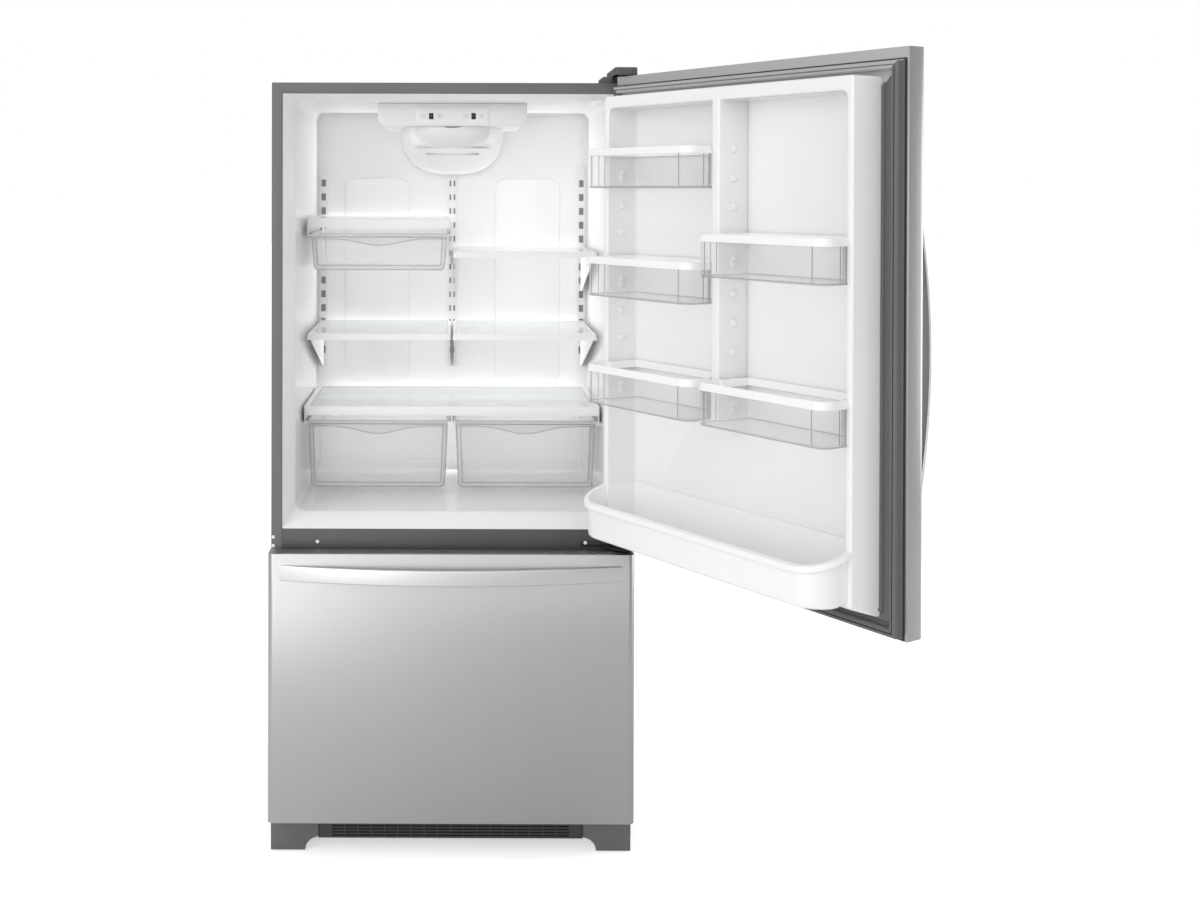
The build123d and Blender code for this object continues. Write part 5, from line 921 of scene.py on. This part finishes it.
# %% Rim and bucket of one bin
BIN_BACK, BIN_FRONT = -18.5, 125.0
RIM_H, BIN_H = 18.0, 89.0
FRONT_LINE_IN = 28.0
BIN_STEPS = {"left": {"top": 0, "middle": 4, "bottom": 8}, "right": {"top": 3, "bottom": 8}}


def door_bin(side, place, step):
    """One bin on its row of buttons: white rim, clear bucket and the bucket's edge lines."""
    sign = 1 if side == "left" else -1
    top = BIN_TOP - BIN_PITCH * step
    wide = sorted((sign * 8.0, sign * 352.5))
    narrow = sorted((sign * 16.5, sign * 339.5))
    body = f"bin_{side}_{place}"
    rim = bmesh.new()
    band = rounded([(0, top - RIM_H, 0), (0, top, 4.0), (9.0, top, 4.0), (9.0, top - RIM_H, 0)])
    ring(rim, wide, (BIN_BACK, BIN_FRONT), (2.0, 30.0), band, axis="Z", closed=True)
    draw_in(rim, wide, narrow)
    for edge, out in ((narrow[0], -1), (narrow[1], 1)):
        reach = sorted((edge - out * 1.0, edge + out * 4.6))
        slab(rim, reach, (14.0, 26.0), (top - 60.7, top - 48.7), 1.0)
    finish_piece(rim, body + "_rim", body, RIM_WHITE, [body])
    bucket = bmesh.new()
    hold = (sorted((wide[0] + 2.5, wide[1] - 2.5)), (BIN_BACK + 0.5, BIN_FRONT - 3.0))
    floor = top - BIN_H

    def level(inset, depth):
        return (grown(hold, -inset), (2.0, max(27.0 - inset, 2.0)), depth)

    loft(bucket, [level(6.0, floor), level(2.5, floor + 1.0), level(1.0, floor + 5.0),
                  level(0.0, top - RIM_H + 1.0), level(2.2, top - RIM_H + 1.0),
                  level(3.2, floor + 7.0), level(8.0, floor + 2.4)], axis="Z")
    draw_in(bucket, wide, narrow)
    lines = bmesh.new()
    upright = (floor + 6.0, top - RIM_H)
    for x in (hold[0][0] + FRONT_LINE_IN, hold[0][1] - FRONT_LINE_IN):
        slab(lines, (x - 0.9, x + 0.9), (BIN_FRONT - 3.2, BIN_FRONT - 2.2), upright, 0.3)
    for x in (hold[0][0] - 0.2, hold[0][1] + 0.2):
        for depth in (64.0, 80.0):
            slab(lines, (x - 0.4, x + 0.4), (depth, depth + LINE_W), upright, 0.2)
    loft(lines, [level(1.8, floor + 1.4), level(0.9, floor + 4.6)], axis="Z", caps=(False, False))
    draw_in(lines, wide, narrow)
    clear = finish_piece(bucket, body + "_bucket", body, BIN_STYRENE)
    clear.visible_shadow = False
    finish_piece(lines, body + "_bucket_edges", body, EDGE_STYRENE)


for side, places in BIN_STEPS.items():
    for place, step in places.items():
        door_bin(side, place, step)
print("bins", sum(len(places) for places in BIN_STEPS.values()))

# %% [markdown]
# The lowest bin is one white moulding across the whole door. Its turned-out lip falls towards the
# front, so it is made level and then let down by how far in front of the dikes it is.

# %% Shape the gallon bin
bottle_bin = bmesh.new()
HOLD = (both(350.5), (BIN_BACK, 139.0))
GALLON_FLOOR, GALLON_HIGH, GALLON_LOW = 778.4, 872.0, 847.0
GALLON_SKIRT = 7.5
GALLON_ROUND = 60.0
GALLON_CREST = 60.3


def gallon(inset, depth):
    """Station of the bin's wall."""
    return (grown(HOLD, -inset), (3.0, max(GALLON_ROUND - inset, 3.0)), depth)


def lipped(out, depth):
    """Station of the turned-out lip, which leaves the back where it is."""
    spans = ((HOLD[0][0] - out, HOLD[0][1] + out), (HOLD[1][0], HOLD[1][1] + out))
    return (spans, (3.0, GALLON_ROUND + out), depth)


outer = [gallon(inset, GALLON_FLOOR + up)
         for inset, up in ((14.0, 0), (5.0, 0.8), (1.5, 4.0), (0.2, 12.0))]
outer.append(gallon(0.0, GALLON_HIGH - 16.0))
outer += [lipped(out, GALLON_HIGH - down) for out, down in (
    (2.0, 14.0), (7.5, 12.5), (9.0, 10.5), (9.0, 3.5), (7.6, 0.8), (5.0, 0))]
inner = [gallon(inset, GALLON_HIGH - down) for inset, down in ((1.0, 0), (2.6, 0.8), (3.0, 3.0))]
inner += [gallon(inset, GALLON_FLOOR + up)
          for inset, up in ((3.5, 22.0), (7.0, 10.0), (12.0, 5.0), (24.0, 3.0))]
loft(bottle_bin, outer + inner, axis="Z")
draw_in(bottle_bin, both(359.5), both(351.5))
for vertex in bottle_bin.verts:
    ahead = max(vertex.co.y - GALLON_CREST, 0.0) / (HOLD[1][1] + 9.0 - GALLON_CREST)
    if vertex.co.z > GALLON_FLOOR + 40.0:
        vertex.co.z -= (GALLON_HIGH - GALLON_LOW) * ahead
    else:
        vertex.co.z -= GALLON_SKIRT * min(ahead * 4.0, 1.0)
finish_piece(bottle_bin, "gallon_bin_moulded", "gallon_bin", RIM_WHITE,
             ["gallon_bin"])

# %% [markdown]
# ## Handles
# Both handles are flat stainless straps. A section is spun about the bow's centre, and the ends
# are cut off where they run into the face.

# %% Spin a strap
def strap(length, bow, thick, wide):
    """Bowed strap in local millimetres: along X, away from the face towards -Y, width along Z."""
    half = length / 2
    radius = (half ** 2 + bow ** 2) / (2 * bow)
    bm = bmesh.new()
    places = loop_places((-thick, 0.0), both(wide / 2), 2.4, 0.0)
    section = [bm.verts.new((0.0, -radius - a, b)) for a, b in places]
    edges = round_edges(bm.edges.new, section)
    reach = asin(min(half / radius, 1.0)) + radians(1.5)
    bmesh.ops.rotate(bm, verts=bm.verts, cent=(0, 0, 0), matrix=Matrix.Rotation(-reach, 3, "Z"))
    bmesh.ops.spin(bm, geom=bm.verts[:] + edges, cent=(0, 0, 0), axis=(0, 0, 1), dvec=(0, 0, 0),
                   angle=2 * reach, steps=72, use_merge=False, use_duplicate=False)
    bmesh.ops.translate(bm, vec=(0, radius - bow, 0), verts=bm.verts)
    geom = bm.verts[:] + bm.edges[:] + bm.faces[:]
    bmesh.ops.bisect_plane(bm, geom=geom, dist=1e-4, plane_co=(0, 0, 0), plane_no=(0, 1, 0),
                           clear_outer=True)
    bmesh.ops.holes_fill(bm, edges=[e for e in bm.edges if e.is_boundary], sides=0)
    return bm


# %% Drawer handle and door handle
FACE_Y = -69.0
STRAP_T, STRAP_W = 8.0, 35.0


def handle(name, body, length, bow, turn_deg, x, z, steel):
    """Strap turned in the plane of the face and set on it, in place of the plain handle."""
    bm = strap(length, bow, STRAP_T, STRAP_W)
    bmesh.ops.rotate(bm, verts=bm.verts, cent=(0, 0, 0),
                     matrix=Matrix.Rotation(radians(turn_deg), 3, "Y"))
    bmesh.ops.translate(bm, vec=(x, FACE_Y, z), verts=bm.verts)
    finish_piece(bm, name + "_strap", body, steel, [name])


# Both straps take steel painted lighter than the fronts: a painted highlight.
handle("drawer_handle", "freezer_drawer", 780.0, 47.0, 0, 0, 656.0, STEEL_LEVEL_LIT)
handle("door_handle", "fridge_door", 630.0, 43.0, 90, -379.0, 1218.0, STEEL_LIT)

# %% [markdown]
# ## Studio
# A plain pale floor and a white surround, as in a catalogue picture, with wide soft lamps. The
# surround is white only to the camera and to glass, and a mid grey room to gloss, so it doesn't
# flood the object with light.

# %% World and floor
world = bpy.data.worlds.new("studio")
bpy.context.scene.world = world
world.use_nodes = True
sky = world.node_tree
sky.nodes.clear()
ray = add_node(sky, "LightPath")
seen = add_node(sky, "Math", {
    0: ray.outputs["Is Camera Ray"], 1: ray.outputs["Is Transmission Ray"]}, operation="MAXIMUM")
AMBIENT = 0.60
GLOSS_ROOM = 0.56
seen = add_node(sky, "MapRange", {"Value": seen.outputs[0], "To Min": AMBIENT, "To Max": 1.0})
strength = add_node(sky, "MixRGB", {"Fac": ray.outputs["Is Glossy Ray"], "Color1": seen.outputs[0],
                                    "Color2": (GLOSS_ROOM, GLOSS_ROOM, GLOSS_ROOM, 1)})
glow = add_node(sky, "Background", {"Color": strength.outputs[0], "Strength": 1.0})
tree_output = sky.nodes.new("ShaderNodeOutputWorld")
sky.links.new(glow.outputs[0], tree_output.inputs["Surface"])

paper, tree, place = new_material("studio_floor_paper")
grain = add_node(tree, "TexNoise", {"Vector": place, "Scale": 3.0, "Detail": 2.0})
tone = add_node(tree, "MixRGB", {"Fac": grain.outputs[0], "Color1": linear("#f0f0f0"),
                                 "Color2": linear("#ededed")})
lit = add_node(tree, "BsdfDiffuse", {"Color": tone.outputs[0]})
ray = add_node(tree, "LightPath")
FLOOR_LIFT = 0.55
lift = add_node(tree, "Math", {0: ray.outputs["Is Camera Ray"], 1: FLOOR_LIFT},
                operation="MULTIPLY")
# To gloss alone the paper glows more on its left: a painted reflection, which the drawer front's
# lower left mirrors.
LEFT_GLEAM = 0.24
across = add_node(tree, "SeparateXYZ", {0: place})
left_side = add_node(tree, "MapRange", {
    "Value": across.outputs[0], "From Min": CENTRE + 0.25, "From Max": CENTRE - 0.55,
    "To Min": 0.0, "To Max": LEFT_GLEAM})
gleam = add_node(tree, "Math", {0: ray.outputs["Is Glossy Ray"], 1: left_side.outputs[0]},
                 operation="MULTIPLY")
lift = add_node(tree, "Math", {0: lift.outputs[0], 1: gleam.outputs[0]}, operation="ADD")
shine = add_node(tree, "Emission", {"Color": (1, 1, 1, 1), "Strength": lift.outputs[0]})
sheet = add_node(tree, "AddShader", {0: lit.outputs[0], 1: shine.outputs[0]})
show(tree, sheet.outputs[0])
ground = bmesh.new()
bmesh.ops.create_circle(ground, cap_ends=True, segments=64, radius=40.0)
floor = new_object(ground, "floor", paper)


# %% Soft lamps
def aimed_lamp(name, kind, energy, towards):
    """Lamp of one kind that shines along a direction."""
    lamp = bpy.data.lights.new(name, kind)
    lamp.energy = energy
    made = bpy.data.objects.new(name, lamp)
    made.rotation_euler = towards.to_track_quat("-Z", "Y").to_euler()
    bpy.context.scene.collection.objects.link(made)
    return made


def soft_lamp(name, place, target, size, watts):
    """Square area lamp at a place, turned to a target, all in metres."""
    made = aimed_lamp(name, "AREA", watts, Vector(target) - Vector(place))
    made.data.shape = "SQUARE"
    made.data.size = size
    made.location = place
    return made


def far_lamp(name, towards, strength, spread_deg):
    """Even light from one side, as from a very large and distant softbox."""
    aimed_lamp(name, "SUN", strength, Vector(towards)).data.angle = radians(spread_deg)


heart = (CENTRE, FRONT, 1.0)
soft_lamp("left_softbox", (CENTRE - 2.4, FRONT - 2.6, 2.1), heart, 2.4, 35)
soft_lamp("low_left_softbox", (CENTRE - 1.3, FRONT - 3.0, 0.40), (CENTRE - 0.2, FRONT, 0.40),
          1.1, 7)
soft_lamp("right_softbox", (CENTRE + 3.2, FRONT + 0.2, 1.3), heart, 1.8, 26)
far_lamp("front_light", (0.10, 1.0, -0.22), 0.57, 45)
far_lamp("top_light", (0.05, 0.45, -1.0), 0.3, 60)

# %% [markdown]
# A real refrigerator lights itself when its door opens. One pane of soft light near the mouth
# shines in and one near the back wall shines out, so that ceiling, walls and floor are light too.

# %% Light inside the cabinet
PANE_SIZE, PANE_Z = (0.70, 0.95), 1.25


def pane_light(name, depth, towards, watts):
    """Upright pane of light as large as the inside, seen by nothing but matt surfaces."""
    y = FRONT + depth
    pane = soft_lamp(name, (CENTRE, y, PANE_Z), (CENTRE, y + towards, PANE_Z), PANE_SIZE[0], watts)
    pane.data.shape = "RECTANGLE"
    pane.data.size_y = PANE_SIZE[1]
    pane.visible_camera = pane.visible_glossy = pane.visible_transmission = False


pane_light("mouth_light", 0.205, 1.0, 0.6)
pane_light("back_light", 0.57, -1.0, 3.4)

# %% [markdown]
# ## Camera
# The photograph was taken level, from a little over three metres, and cropped off centre. The
# lens shift gives that crop and keeps the uprights parallel.

# %% Camera
camera_data = bpy.data.cameras.new("camera")
camera_data.lens = 42.73
camera_data.sensor_width = 36.0
camera_data.shift_x = 0.1255
camera_data.shift_y = -0.2055
camera = bpy.data.objects.new("camera", camera_data)
DISTANCE, EYE_HEIGHT = 3.282, 1.518
camera.location = (CENTRE + 0.004, FRONT - DISTANCE, EYE_HEIGHT)
PITCH, YAW, ROLL = radians(-0.45), radians(0.18), radians(0.14)
look = Matrix.Rotation(YAW, 4, "Z") @ Matrix.Rotation(radians(90) + PITCH, 4, "X")
camera.rotation_euler = (look @ Matrix.Rotation(ROLL, 4, "Z")).to_euler()
bpy.context.scene.collection.objects.link(camera)
bpy.context.scene.camera = camera
bpy.context.scene.view_settings.view_transform = "Standard"
